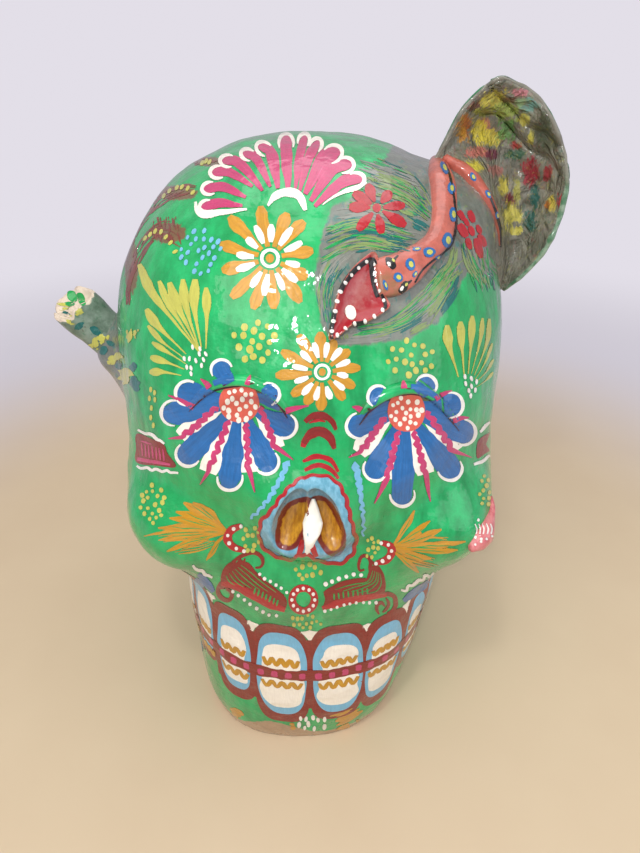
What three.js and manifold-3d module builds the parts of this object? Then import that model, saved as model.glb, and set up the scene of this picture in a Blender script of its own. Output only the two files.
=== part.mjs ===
// A hollow papier-mache painted skull, in millimetres. +Z is up, the face looks towards -Y, and the origin is the
// centre of the flat underside. The skull is moulded in a front and a back half joined by a paper band, with cups
// for the eyes and nose glued in from behind, a broken branch stub, a leaf-shaped hood and a snake laid on top.
import * as THREE from "three";
import { mergeVertices } from "three/addons/utils/BufferGeometryUtils.js";
import Module from "manifold-3d";

const wasm = await Module();
wasm.setup();

// Driving dimensions.
const WALL = 3; // thickness of the layered paper
const GAP = 0.3; // glue gap between neighbouring pieces
const SEAM_Y = 10; // plane of the joint between the front and back halves
const BAND_WIDTH = 24; // paper band inside the seam
const BAND_THICKNESS = 1.4;
const BAND_FOOT_Z = 8; // height at which the band starts above the base
const BASE_THICKNESS = 4;
const WIRE_RADIUS = 0.9;

const CRANIUM = { centre: [0, 12, 167], radii: [82, 98, 85] };
const FACE = { centre: [0, -34, 150], radii: [66, 54, 60] };
const CHEEK = { centre: [45, -44, 118], radii: [29.5, 36, 28] };
const CHEEK_PAD = { centre: [45, -62, 124], radii: [24, 24, 18] };
const JAW = { centre: [0, -22, 50], radii: [59, 61, 72] };
const JAW_TOP = 75; // below this height the jaw narrows and leans to the left
const JAW_LEAN = 0.078;
const JAW_TAPER = 0.0016;
const UPPER_LIP = { centre: [0, -44, 104], radii: [48, 44, 34] };
const NOSE_MOUND = { centre: [0, -84, 143], radii: [19, 15, 22] };
const HOOD_MOUND = { centre: [50, 0, 220], radii: [22, 32, 19] };
const EYES = { middle: [5.8, -95.7, 172], apart: 27.7, turn: 0.05, radii: [21, 15, 20], tilt: 28 };
const NOSTRIL = { centre: [5.5, -101, 144], radii: [6.2, 14, 15.5], splay: 16 };

const CORE_POINT = new THREE.Vector3(0, -6, 118); // every point of the head is in a straight line from here
const REACH = 240; // longer than any line from CORE_POINT to the surface
const HEAD_DETAIL = 12;
const CAVITY_DETAIL = 9;

// Distance-like functions: negative inside, zero on the surface.
function ellipsoid(p, { centre, radii }) {
  const q = [0, 1, 2].map((i) => (p[i] - centre[i]) / radii[i]);
  const near = Math.hypot(...q);
  const steep = Math.hypot(...q.map((v, i) => v / radii[i]));
  return (near * (near - 1)) / Math.max(steep, 1e-6);
}

// A rounded box-like form: plan and height are the two exponents, 2 for an ellipse and more for squarer.
function squircle(p, { centre, radii }, plan, height) {
  const q = [0, 1, 2].map((i) => Math.abs((p[i] - centre[i]) / radii[i]));
  const flat = Math.pow(Math.pow(q[0], plan) + Math.pow(q[1], plan), height / plan);
  return (Math.pow(flat + Math.pow(q[2], height), 1 / height) - 1) * Math.min(...radii);
}

function blend(a, b, soft) {
  const h = THREE.MathUtils.clamp(0.5 + (0.5 * (b - a)) / soft, 0, 1);
  return b + (a - b) * h - soft * h * (1 - h);
}

// The jaw's own sideways coordinate, which allows for its lean and taper.
function jawSide(x, z) {
  const drop = Math.max(0, JAW_TOP - z);
  return (x + JAW_LEAN * drop) / (1 - JAW_TAPER * drop);
}

// The whole head without its sockets.
function head(x, y, z) {
  const p = [Math.abs(x), y, z];
  let d = squircle(p, CRANIUM, 2.15, 2.3);
  d = blend(d, ellipsoid(p, FACE), 16);
  d = blend(d, ellipsoid(p, CHEEK), 20);
  d = blend(d, ellipsoid(p, CHEEK_PAD), 8);
  d = blend(d, squircle([jawSide(x, z), y, z], JAW, 2.5, 4), 14);
  d = blend(d, ellipsoid(p, UPPER_LIP), 14);
  d = blend(d, ellipsoid(p, NOSE_MOUND), 6);
  return blend(d, ellipsoid([x, y, z], HOOD_MOUND), 10);
}

// Outward direction of the head's surface near a point.
function outward(point) {
  const step = 0.5;
  const { x, y, z } = point;
  return new THREE.Vector3(
    head(x + step, y, z) - head(x - step, y, z),
    head(x, y + step, z) - head(x, y - step, z),
    head(x, y, z + step) - head(x, y, z - step),
  ).normalize();
}

// Geometry to manifold-3d solid and back.
function toSolid(geometry) {
  const bare = geometry.clone();
  bare.deleteAttribute("normal");
  bare.deleteAttribute("uv");
  const merged = mergeVertices(bare, 1e-4);
  return new wasm.Manifold(
    new wasm.Mesh({
      numProp: 3,
      vertProperties: merged.getAttribute("position").array,
      triVerts: new Uint32Array(merged.index.array),
    }),
  );
}

function toGeometry(solid) {
  const mesh = solid.getMesh();
  const geometry = new THREE.BufferGeometry();
  geometry.setAttribute("position", new THREE.BufferAttribute(mesh.vertProperties, 3));
  geometry.setIndex(new THREE.BufferAttribute(mesh.triVerts, 1));
  geometry.computeVertexNormals();
  return geometry;
}

// Moves every vertex of a geometry to where the function puts it.
function shape(geometry, place) {
  const position = geometry.getAttribute("position");
  const point = new THREE.Vector3();
  for (let i = 0; i < position.count; i++) {
    place(point.fromBufferAttribute(position, i));
    position.setXYZ(i, point.x, point.y, point.z);
  }
  return geometry;
}

// A sphere pushed out to the head's surface, or to a surface a set distance outside it.
function sculpt(offset, detail) {
  const sphere = new THREE.IcosahedronGeometry(1, detail);
  return toSolid(
    shape(sphere, (point) => {
      const direction = point.clone().normalize();
      let inside = 0;
      let outside = REACH;
      for (let i = 0; i < 40; i++) {
        const middle = (inside + outside) / 2;
        point.copy(direction).multiplyScalar(middle).add(CORE_POINT);
        if (head(point.x, point.y, point.z) < offset) inside = middle;
        else outside = middle;
      }
    }),
  );
}

function box(x0, x1, y0, y1, z0, z1) {
  const geometry = new THREE.BoxGeometry(x1 - x0, y1 - y0, z1 - z0);
  geometry.translate((x0 + x1) / 2, (y0 + y1) / 2, (z0 + z1) / 2);
  return toSolid(geometry);
}

// A closed round rod along a curve. size(t) gives [half width, half height] of its section, and the height
// is measured along normal(point).
function rod(curve, size, normal, sides, steps) {
  const cylinder = new THREE.CylinderGeometry(1, 1, 1, sides, steps);
  return toSolid(
    shape(cylinder, (point) => {
      const t = point.y + 0.5;
      const centre = curve.getPoint(t);
      const along = curve.getTangent(t);
      const up = normal(centre).clone();
      up.addScaledVector(along, -up.dot(along)).normalize();
      const side = new THREE.Vector3().crossVectors(along, up);
      const [width, height] = size(t);
      const x = point.x * width;
      const z = point.z * height;
      point.copy(centre).addScaledVector(side, x).addScaledVector(up, z);
    }),
  );
}

function curveThrough(points) {
  return new THREE.CatmullRomCurve3(points.map((p) => new THREE.Vector3(...p)), false, "centripetal");
}

// Puts each point of a path on the head's surface.
function onHead(points) {
  return points.map((p) => {
    const direction = new THREE.Vector3(...p).sub(CORE_POINT).normalize();
    const point = new THREE.Vector3();
    let inside = 0;
    let outside = REACH;
    for (let i = 0; i < 40; i++) {
      const middle = (inside + outside) / 2;
      point.copy(direction).multiplyScalar(middle).add(CORE_POINT);
      if (head(point.x, point.y, point.z) < 0) inside = middle;
      else outside = middle;
    }
    return point.toArray();
  });
}

// Solids that the pieces are cut from.
const headSolid = sculpt(0, HEAD_DETAIL);
const headClear = sculpt(GAP, HEAD_DETAIL);
const cavity = sculpt(-WALL, CAVITY_DETAIL);
const aboveTable = box(-150, 150, -150, 150, 0, 300);
const skin = headSolid.subtract(cavity).intersect(aboveTable);

// Eye sockets: a bowl-shaped cup behind a cut-out in the shell.
function eyeForm(side, extra) {
  const geometry = new THREE.SphereGeometry(1, 22, 14);
  const x = EYES.middle[0] + side * EYES.apart;
  geometry.scale(...EYES.radii.map((r) => r + extra));
  geometry.rotateX(THREE.MathUtils.degToRad(-EYES.tilt));
  geometry.translate(x, EYES.middle[1] + EYES.turn * (x - EYES.middle[0]), EYES.middle[2]);
  return toSolid(geometry);
}

// The nose opening is two drop-shaped hollows that lean together at the top.
function noseForm(extra) {
  const lobe = (side) => {
    const geometry = new THREE.SphereGeometry(1, 16, 12);
    geometry.scale(...NOSTRIL.radii.map((r) => r + extra));
    geometry.rotateY(THREE.MathUtils.degToRad(-side * NOSTRIL.splay));
    geometry.translate(side * NOSTRIL.centre[0], NOSTRIL.centre[1], NOSTRIL.centre[2]);
    return toSolid(geometry);
  };
  return lobe(-1).add(lobe(1));
}

const cup = (form) => form(WALL).subtract(form(0)).intersect(headSolid);
const noseRoom = noseForm(WALL + GAP);
const eyeCupLeft = cup((extra) => eyeForm(-1, extra)).subtract(noseRoom);
const eyeCupRight = cup((extra) => eyeForm(1, extra)).subtract(noseRoom);
const noseCup = cup(noseForm);

const frontHalf = box(-150, 150, -150, SEAM_Y - GAP / 2, 0, 300);
const backHalf = box(-150, 150, SEAM_Y + GAP / 2, 150, 0, 300);
const openings = eyeForm(-1, WALL + GAP).add(eyeForm(1, WALL + GAP)).add(noseRoom);
const frontShell = skin.intersect(frontHalf).subtract(openings);
const backShell = skin.intersect(backHalf);

const bandSlab = box(-150, 150, SEAM_Y - BAND_WIDTH / 2, SEAM_Y + BAND_WIDTH / 2, BAND_FOOT_Z, 300);
const bandOuter = sculpt(-WALL - GAP, CAVITY_DETAIL);
const bandInner = sculpt(-WALL - GAP - BAND_THICKNESS, CAVITY_DETAIL);
const seamBand = bandOuter.subtract(bandInner).intersect(bandSlab);

const basePlate = bandOuter.intersect(box(-150, 150, -150, 150, 0, BASE_THICKNESS));

// The septum stands in the nose cup and comes forward to the rim.
function septumForm() {
  const blade = new THREE.SphereGeometry(1, 12, 12);
  blade.scale(3.2, 13, 15);
  blade.translate(0, -88, 143);
  const front = box(-20, 20, -98, -60, 120, 170);
  return toSolid(blade).intersect(noseForm(-GAP)).intersect(front);
}

// Branch stub: a tapering paper skin round a rolled core, with the core showing at the broken end.
const BRANCH_ROOT_RADIUS = 17;
const BRANCH_END_RADIUS = 9;
const BRANCH_SKIN = 2.4;
const CORE_STANDS_OUT = 2;
const branchPath = curveThrough([[-60, -14, 152], [-76, -14, 167], [-88, -13, 180], [-98, -13, 192]]);
const straightUp = () => new THREE.Vector3(0, 1, 0);
function branchRadius(t) {
  const fall = Math.pow(1 - t, 1.6);
  return BRANCH_END_RADIUS + (BRANCH_ROOT_RADIUS - BRANCH_END_RADIUS) * fall;
}
function branchRod(inset, path) {
  return rod(path, (t) => [branchRadius(t) - inset, branchRadius(t) - inset], straightUp, 14, 8);
}
const branchEnd = branchPath.getPoint(1).addScaledVector(branchPath.getTangent(1), CORE_STANDS_OUT);
const longerPath = curveThrough([...branchPath.points.map((p) => p.toArray()), branchEnd.toArray()]);
const branchSkin = branchRod(0, branchPath).subtract(branchRod(BRANCH_SKIN, longerPath)).subtract(headClear);
const coreRod = branchRod(BRANCH_SKIN + GAP, longerPath).subtract(headClear);
const wireStart = new THREE.Vector3(-52, -14, 146);
const wireMiddle = new THREE.Vector3(-76, -14, 167);
const branchWirePath = new THREE.QuadraticBezierCurve3(wireStart, wireMiddle, branchPath.getPoint(0.85));
const wire = (path, radius, steps) => rod(path, () => [radius, radius], straightUp, 8, steps);
const branchWireHole = wire(branchWirePath, WIRE_RADIUS + GAP, 6);
const branchWire = wire(branchWirePath, WIRE_RADIUS, 6);

// Hood: a dished leaf rising from the crown, stiffened by a wire rolled into its rim.
const HOOD_THICKNESS = 2.6;
const HOOD_DISH = 20;
const RIM_RADIUS = 2.6;
const hoodRoot = curveThrough([[48, -5, 242], [57, -13, 237], [67, -15, 225], [74, -9, 210], [81, 3, 192]]);
const hoodRim = curveThrough([
  [47, -4, 243], [56, -6, 261], [66, -6, 269.5], [80, -6, 265], [91, -7, 251], [97, -9, 233], [94, -6, 210], [84, 3, 192],
]);
function hoodPoint(u, v, lift) {
  const root = hoodRoot.getPoint(u);
  const edge = hoodRim.getPoint(u);
  const point = root.lerp(edge, v);
  point.y += HOOD_DISH * Math.sin(Math.PI * v) * Math.sin(Math.PI * u) + lift;
  return point;
}
function hoodSheet(thickness) {
  const slab = new THREE.BoxGeometry(1, 1, 1, 14, 7, 1);
  return toSolid(
    shape(slab, (point) => {
      const u = point.x + 0.5;
      const v = point.y + 0.5;
      point.copy(hoodPoint(THREE.MathUtils.lerp(0.02, 0.98, u), v, -point.z * thickness));
    }),
  );
}
const edgeNormal = () => new THREE.Vector3(0, 1, 0);
const rimRod = (radius, sides) => rod(hoodRim, () => [radius, radius], edgeNormal, sides, 26);
const hoodLeaf = hoodSheet(HOOD_THICKNESS).subtract(rimRod(RIM_RADIUS + GAP, 10)).subtract(headClear);
const rimWire = rimRod(WIRE_RADIUS, 8).subtract(headClear);
const hoodRimRoll = rimRod(RIM_RADIUS, 10).subtract(rimRod(WIRE_RADIUS + GAP, 8)).subtract(headClear);

// Snake: its pieces lie on the head and are cut to fit it and each other.
const snakeHeadPath = curveThrough(onHead([[6, -79, 203], [12, -77, 208], [19, -72, 213], [27, -66, 217]]));
const snakeNeckPath = curveThrough(
  onHead([[28, -65, 218], [36, -60, 220], [44, -50, 224], [50, -39, 229], [50, -29, 237], [48, -15, 244]]),
);
const snakeBodyPath = curveThrough(onHead([[49, -14, 245], [54, -20, 241], [60, -24, 235], [67, -24, 225], [73, -19, 212]]));
const snakeTailPath = curveThrough(
  onHead([[58, -82, 122], [64, -77, 124], [70, -70, 128], [75, -60, 136], [77, -48, 147], [77, -34, 158]]),
);

// A rod laid along the head; stations are [half width, half height] at even steps along it.
function laid(path, stations, steps) {
  const size = (t, extra) => {
    const place = t * (stations.length - 1);
    const i = Math.min(Math.floor(place), stations.length - 2);
    return [0, 1].map((k) => THREE.MathUtils.lerp(stations[i][k], stations[i + 1][k], place - i) + extra);
  };
  return (extra) => rod(path, (t) => size(t, extra), outward, 12, steps);
}
const snakeHeadForm = laid(snakeHeadPath, [[1.5, 3], [7, 5], [11.5, 6.5], [11, 7], [8, 6]], 10);
const snakeNeckForm = laid(snakeNeckPath, [[8, 6], [6.5, 5.5], [6.5, 5.5], [6.5, 5.5], [6, 5]], 14);
const snakeBodyForm = laid(snakeBodyPath, [[5, 4.5], [5, 4.5], [4.5, 4], [3, 2.5]], 10);
const snakeTailForm = laid(snakeTailPath, [[3, 4], [8, 6], [6.5, 5], [4, 3.5], [3, 3], [2, 2]], 12);
const snakeHead = snakeHeadForm(0).subtract(headClear);
const snakeNeck = snakeNeckForm(0).subtract(headClear).subtract(snakeHeadForm(GAP));
const snakeBody = snakeBodyForm(0).subtract(headClear).subtract(snakeNeckForm(GAP));
const snakeTail = snakeTailForm(0).subtract(headClear);
const snakeRoom = snakeNeckForm(GAP).add(snakeBodyForm(GAP));

// The open mouth is a leaf-shaped pad on the front of the snake's head, with a bean-shaped tongue on it.
const mouthForm = laid(snakeHeadPath, [[1, 6], [7, 8], [8.5, 8.8], [5, 8], [1, 5]], 10);
const snakeMouth = mouthForm(0).subtract(snakeHeadForm(GAP)).subtract(headClear);

const tongueShape = new THREE.SphereGeometry(1, 12, 8);
tongueShape.scale(2.4, 2.4, 3.2);
const tonguePlace = snakeHeadPath.getPoint(0.4);
tonguePlace.addScaledVector(outward(tonguePlace), 9);
tongueShape.translate(...tonguePlace.toArray());
const snakeTongue = toSolid(tongueShape).subtract(mouthForm(GAP)).subtract(snakeHeadForm(GAP));

// Materials.
const paint = (color, roughness = 0.3) => new THREE.MeshStandardMaterial({ color, roughness, metalness: 0 });
const GREEN = paint(0x2fae6a);
const BLUE = paint(0x3f74b8);
const OCHRE = paint(0xb98026);
const CREAM = paint(0xe9dcc4, 0.5);
const CORAL = paint(0xe27a62);
const ROSE = paint(0xd06a6c);
const RED = paint(0xc33a40);
const MOSS = paint(0x7a8068, 0.4);
const KRAFT = paint(0x9c7f62, 0.8);
const STEEL = new THREE.MeshStandardMaterial({ color: 0x8a8a8a, roughness: 0.4, metalness: 0.9 });

const skull = new THREE.Group();
function add(name, solid, material) {
  const mesh = new THREE.Mesh(toGeometry(solid), material);
  mesh.name = name;
  skull.add(mesh);
}

add("front_shell", frontShell, GREEN);
add("back_shell", backShell, GREEN);
add("seam_band", seamBand, KRAFT);
add("base_plate", basePlate, KRAFT);
add("eye_cup_left", eyeCupLeft, BLUE);
add("eye_cup_right", eyeCupRight, BLUE);
add("nose_cup", noseCup, OCHRE);
add("nasal_septum", septumForm(), CREAM);
add("branch_skin", branchSkin, MOSS);
add("branch_core", coreRod.subtract(branchWireHole), CREAM);
add("branch_wire", branchWire.subtract(headClear), STEEL);
add("hood_leaf", hoodLeaf.subtract(snakeRoom), MOSS);
add("hood_rim", hoodRimRoll.subtract(snakeRoom), MOSS);
add("hood_wire", rimWire.subtract(snakeRoom), STEEL);
add("snake_head", snakeHead, CORAL);
add("snake_mouth", snakeMouth, RED);
add("snake_tongue", snakeTongue, CREAM);
add("snake_neck", snakeNeck, CORAL);
add("snake_body", snakeBody, CORAL);
add("snake_tail", snakeTail, ROSE);

export default skull;
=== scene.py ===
"""Looks of the painted papier-mache skull: a lumpy paper skin with a raised snake, hood and branch.

Every brush stroke is a thin layer of paint laid on the surface.
Lengths are in millimetres until a mesh is made.
"""
import math

import bmesh
import bpy
import numpy as np
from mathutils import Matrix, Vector
from mathutils.bvhtree import BVHTree


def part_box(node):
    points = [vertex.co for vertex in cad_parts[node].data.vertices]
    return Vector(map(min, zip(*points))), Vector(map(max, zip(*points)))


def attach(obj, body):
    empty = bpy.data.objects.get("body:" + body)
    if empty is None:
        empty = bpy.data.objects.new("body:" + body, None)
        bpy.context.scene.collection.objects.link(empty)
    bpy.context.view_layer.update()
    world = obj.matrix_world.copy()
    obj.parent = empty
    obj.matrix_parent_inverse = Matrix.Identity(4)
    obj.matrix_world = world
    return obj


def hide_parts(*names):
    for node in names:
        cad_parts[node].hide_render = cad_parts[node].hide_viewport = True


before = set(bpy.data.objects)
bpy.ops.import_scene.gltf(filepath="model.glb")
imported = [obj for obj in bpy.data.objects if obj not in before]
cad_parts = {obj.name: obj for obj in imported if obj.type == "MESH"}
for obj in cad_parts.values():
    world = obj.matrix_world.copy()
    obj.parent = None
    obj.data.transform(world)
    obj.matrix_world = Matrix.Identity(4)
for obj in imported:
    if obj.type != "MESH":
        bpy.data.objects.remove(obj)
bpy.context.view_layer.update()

MM = 0.001
rng = np.random.default_rng(11)


# ---------------------------------------------------------------- sizes taken from the frame

def box_mm(node):
    """Lowest and highest corners of a CAD node, in millimetres."""
    low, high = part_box(node)
    return np.array(low) / MM, np.array(high) / MM


FRONT_LOW = box_mm("front_shell")[0]
BACK_LOW, BACK_HIGH = box_mm("back_shell")
HALF_WIDTH = (BACK_HIGH[0] - BACK_LOW[0]) / 2
TOP = BACK_HIGH[2]
BACK = BACK_HIGH[1]
WALL = 3.0  # thickness of the layered paper

CRANIUM = ((0, BACK - 98, TOP - 85), (HALF_WIDTH, 98, 85))
FACE = ((0, -34, 150), (66, 54, 60))
CHEEK = ((45, -44, 118), (29.5, 36, 28))
CHEEK_PAD = ((45, -62, 124), (24, 24, 18))
JAW = ((0, -22, 50), (59, 61, 72))
JAW_TOP, JAW_LEAN, JAW_TAPER = 75, 0.078, 0.0016
UPPER_LIP = ((0, -44, 104), (48, 44, 34))
NOSE_MOUND = ((0, -84, 143), (19, 15, 22))
HOOD_MOUND = ((50, 0, 220), (22, 32, 19))
EYE_MIDDLE, EYE_APART, EYE_TURN = np.array((5.8, -95.7, 172)), 27.7, 0.05
EYE_RADII, EYE_TILT = (21, 15, 20), 28
NOSTRIL, NOSTRIL_RADII, NOSTRIL_SPLAY = (5.5, -101, 144), (6.2, 14, 15.5), 16
BRANCH_ROOT = ((-62, -14, 154), (-79, -13.5, 171), 11)

# The painter's eye: the point from which the face is seen in the picture this scene is lit and framed for.
SIGHT = np.array((4.0, -243.0, 268.0))
SIGHT_PITCH = math.radians(30.5)
SIGHT_RIGHT = np.array((1.0, 0.0, 0.0))
SIGHT_UP = np.array((0.0, math.sin(SIGHT_PITCH), math.cos(SIGHT_PITCH)))
SIGHT_AHEAD = np.array((0.0, math.cos(SIGHT_PITCH), -math.sin(SIGHT_PITCH)))
PLANE_AWAY = 181.25
SIGHT_PLANE = SIGHT + PLANE_AWAY * SIGHT_AHEAD
PICTURE_HEIGHT, FOCAL = 853, 580


# ---------------------------------------------------------------- the head as a distance-like function

def blend(a, b, soft):
    h = np.clip(0.5 + 0.5 * (b - a) / soft, 0, 1)
    return b + (a - b) * h - soft * h * (1 - h)


def carve(a, b, soft):
    """a with b taken out of it, with an edge rounded by soft."""
    return -blend(-a, b, soft)


def ellipsoid(p, centre, radii):
    radii = np.array(radii, float)
    q = (p - np.array(centre)) / radii
    near = np.linalg.norm(q, axis=-1)
    steep = np.linalg.norm(q / radii, axis=-1)
    return near * (near - 1) / np.maximum(steep, 1e-6)


def squircle(p, centre, radii, plan, height):
    q = np.abs((p - np.array(centre)) / np.array(radii))
    flat = (q[..., 0] ** plan + q[..., 1] ** plan) ** (height / plan)
    return ((flat + q[..., 2] ** height) ** (1 / height) - 1) * min(radii)


def capsule(p, a, b, radius):
    a, b = np.array(a, float), np.array(b, float)
    t = np.clip((p - a) @ (b - a) / ((b - a) @ (b - a)), 0, 1)
    return np.linalg.norm(p - a - t[..., None] * (b - a), axis=-1) - radius


def mirrored(p):
    return np.stack([np.abs(p[..., 0]), p[..., 1], p[..., 2]], -1)


def head(p):
    s = mirrored(p)
    drop = np.maximum(0, JAW_TOP - p[..., 2])
    jaw_x = (p[..., 0] + JAW_LEAN * drop) / (1 - JAW_TAPER * drop)
    d = squircle(s, *CRANIUM, 2.15, 2.3)
    d = blend(d, ellipsoid(s, *FACE), 16)
    d = blend(d, ellipsoid(s, *CHEEK), 20)
    d = blend(d, ellipsoid(s, *CHEEK_PAD), 8)
    d = blend(d, squircle(np.stack([jaw_x, p[..., 1], p[..., 2]], -1), *JAW, 2.5, 4), 14)
    d = blend(d, ellipsoid(s, *UPPER_LIP), 14)
    d = blend(d, ellipsoid(s, *NOSE_MOUND), 6)
    d = blend(d, ellipsoid(p, *HOOD_MOUND), 10)
    return blend(d, capsule(p, *BRANCH_ROOT), 12)


def sockets(p):
    """Distance to the two eye sockets, and to the two halves of the nose opening."""
    eye_x = np.abs(p[..., 0] - EYE_MIDDLE[0])
    eye_y = EYE_MIDDLE[1] + EYE_TURN * (p[..., 0] - EYE_MIDDLE[0])
    tilt = math.radians(EYE_TILT)
    y, z = p[..., 1] - eye_y, p[..., 2] - EYE_MIDDLE[2]
    turned = np.stack([eye_x - EYE_APART, y * math.cos(tilt) - z * math.sin(tilt),
                       y * math.sin(tilt) + z * math.cos(tilt)], -1)
    eyes = ellipsoid(turned, (0, 0, 0), EYE_RADII)
    splay = math.radians(NOSTRIL_SPLAY)
    x, z = np.abs(p[..., 0]) - NOSTRIL[0], p[..., 2] - NOSTRIL[2]
    turned = np.stack([x * math.cos(splay) + z * math.sin(splay), p[..., 1] - NOSTRIL[1],
                       z * math.cos(splay) - x * math.sin(splay)], -1)
    return eyes, ellipsoid(turned, (0, 0, 0), NOSTRIL_RADII)


def skull(p):
    eyes, nose = sockets(p)
    lip = np.clip((p[..., 2] - 160) / 20, 0, 1)  # the brow edge is sharp, the lower edge fades out
    d = carve(head(p), eyes, 5 - 4 * lip)
    return carve(d, nose, 1.5)


# ---------------------------------------------------------------- meshes from functions

def noise(p, size, seed):
    """Smooth random values from -1 to 1 at points p, varying over about size millimetres."""
    q = p / size
    cell = np.floor(q).astype(np.int64)
    f = q - cell
    f = f * f * (3 - 2 * f)
    total = np.zeros(p.shape[:-1])
    for dx in (0, 1):
        for dy in (0, 1):
            for dz in (0, 1):
                h = (cell[..., 0] + dx) * 73856093 ^ (cell[..., 1] + dy) * 19349663 ^ (cell[...,
                        2] + dz) * 83492791
                h = (h ^ seed * 2654435761) & 0xFFFFFFFF
                h = (h ^ h >> 15) * 2246822519 & 0xFFFFFFFF
                h = (h ^ h >> 13) * 3266489917 & 0xFFFFFFFF
                value = ((h ^ h >> 16) & 0xFFFF) / 32767.5 - 1
                weight = np.where(dx, f[..., 0], 1 - f[..., 0])
                weight = weight * np.where(dy, f[..., 1], 1 - f[..., 1])
                weight = weight * np.where(dz, f[..., 2], 1 - f[..., 2])
                total += value * weight
    return total


def gradient(function, p, step=0.3):
    g = np.zeros_like(p)
    for axis in range(3):
        d = np.zeros(3)
        d[axis] = step
        g[..., axis] = (function(p + d) - function(p - d)) / (2 * step)
    return g


def graded(low, high, fine_low, fine_high, fine, coarse):
    """Positions from low to high, closer together between fine_low and fine_high."""
    places = [low]
    while places[-1] < high:
        inside = fine_low <= places[-1] <= fine_high
        places.append(places[-1] + (fine if inside else coarse))
    return np.array(places)


def sampled(function, xs, ys, zs, block=14):
    """Values on a grid; blocks far from the surface take the value at their middle."""
    values = np.empty((len(xs), len(ys), len(zs)), np.float32)
    for i in range(0, len(xs), block):
        for j in range(0, len(ys), block):
            for k in range(0, len(zs), block):
                x, y, z = xs[i:i + block], ys[j:j + block], zs[k:k + block]
                middle = np.array([(x[0] + x[-1]) / 2, (y[0] + y[-1]) / 2, (z[0] + z[-1]) / 2])
                reach = 0.5 * math.dist((x[0], y[0], z[0]), (x[-1], y[-1], z[-1])) + 4
                value = float(function(middle[None])[0])
                where = (slice(i, i + block), slice(j, j + block), slice(k, k + block))
                if abs(value) > reach * 1.5:
                    values[where] = value
                else:
                    values[where] = function(np.stack(np.meshgrid(x, y, z, indexing="ij"), -1))
    return values


def surface_net(function, xs, ys, zs):
    """Quads where the function is zero, open at the grid's first z plane, with that rim's vertices on it."""
    values = sampled(function, xs, ys, zs)
    inside = values < 0
    nx, ny, nz = (n - 1 for n in values.shape)
    count = np.zeros((nx, ny, nz), np.int8)
    corners = [(a, b, c) for a in (0, 1) for b in (0, 1) for c in (0, 1)]
    for a, b, c in corners:
        count += inside[a:a + nx, b:b + ny, c:c + nz]
    cells = np.argwhere((count > 0) & (count < 8))
    index = np.full((nx, ny, nz), -1, np.int64)
    index[tuple(cells.T)] = np.arange(len(cells))
    axes = (xs, ys, zs)
    total, hits = np.zeros((len(cells), 3)), np.zeros(len(cells))
    for axis in range(3):
        for a, b in ((0, 0), (0, 1), (1, 0), (1, 1)):
            start = cells.copy()
            others = [n for n in range(3) if n != axis]
            start[:, others[0]] += a
            start[:, others[1]] += b
            end = start.copy()
            end[:, axis] += 1
            v0, v1 = values[tuple(start.T)], values[tuple(end.T)]
            crossing = (v0 < 0) != (v1 < 0)
            t = np.where(crossing, v0 / np.where(crossing, v0 - v1, 1), 0)
            p0 = np.stack([axes[n][start[:, n]] for n in range(3)], -1)
            p1 = np.stack([axes[n][end[:, n]] for n in range(3)], -1)
            total += np.where(crossing[:, None], p0 + t[:, None] * (p1 - p0), 0)
            hits += crossing
    vertices = total / hits[:, None]
    quads = []
    for axis in range(3):
        step = np.zeros(3, int)
        step[axis] = 1
        size = [values.shape[n] - step[n] for n in range(3)]
        first = inside[:size[0], :size[1], :size[2]]
        second = inside[step[0]:, step[1]:, step[2]:]
        edges = np.argwhere(first != second)
        u, v = [(axis + 1) % 3, (axis + 2) % 3]
        keep = (edges[:, u] > 0) & (edges[:, v] > 0)
        keep &= (edges[:, u] < index.shape[u]) & (edges[:, v] < index.shape[v])
        edges = edges[keep]
        ring = []
        for du, dv in ((-1, -1), (0, -1), (0, 0), (-1, 0)):
            cell = edges.copy()
            cell[:, u] += du
            cell[:, v] += dv
            ring.append(index[tuple(cell.T)])
        quad = np.stack(ring, -1)
        leaving = first[tuple(edges.T)]
        quad[~leaving] = quad[~leaving][:, ::-1]
        quads.append(quad)
    vertices[cells[:, 2] == 0, 2] = zs[0]
    quads = np.concatenate(quads)
    used = np.unique(quads)
    renumber = np.full(len(vertices), -1)
    renumber[used] = np.arange(len(used))
    return vertices[used], renumber[quads]


def settle(function, vertices, rounds=4):
    """Moves vertices onto the surface; those on the table plane stay on it."""
    low = vertices[:, 2] <= 1e-6
    for _ in range(rounds):
        g = gradient(function, vertices)
        g[low, 2] = 0
        step = function(vertices)[:, None] * g / np.maximum((g * g).sum(-1), 0.05)[:, None]
        vertices = vertices - np.clip(step, -1.0, 1.0)
    return vertices


def object_from(name, vertices, faces, material, normals=None):
    """A mesh object from millimetre vertices, riding on the one body."""
    mesh = bpy.data.meshes.new(name)
    mesh.from_pydata((np.asarray(vertices) * MM).tolist(), [], [list(map(int, f)) for f in faces])
    mesh.update()
    mesh.materials.append(material)
    mesh.shade_smooth()
    if normals is not None:
        mesh.normals_split_custom_set_from_vertices(np.asarray(normals).tolist())
    made = bpy.data.objects.new(name, mesh)
    bpy.context.scene.collection.objects.link(made)
    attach(made, "root")
    return made


# ---------------------------------------------------------------- materials

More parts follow.
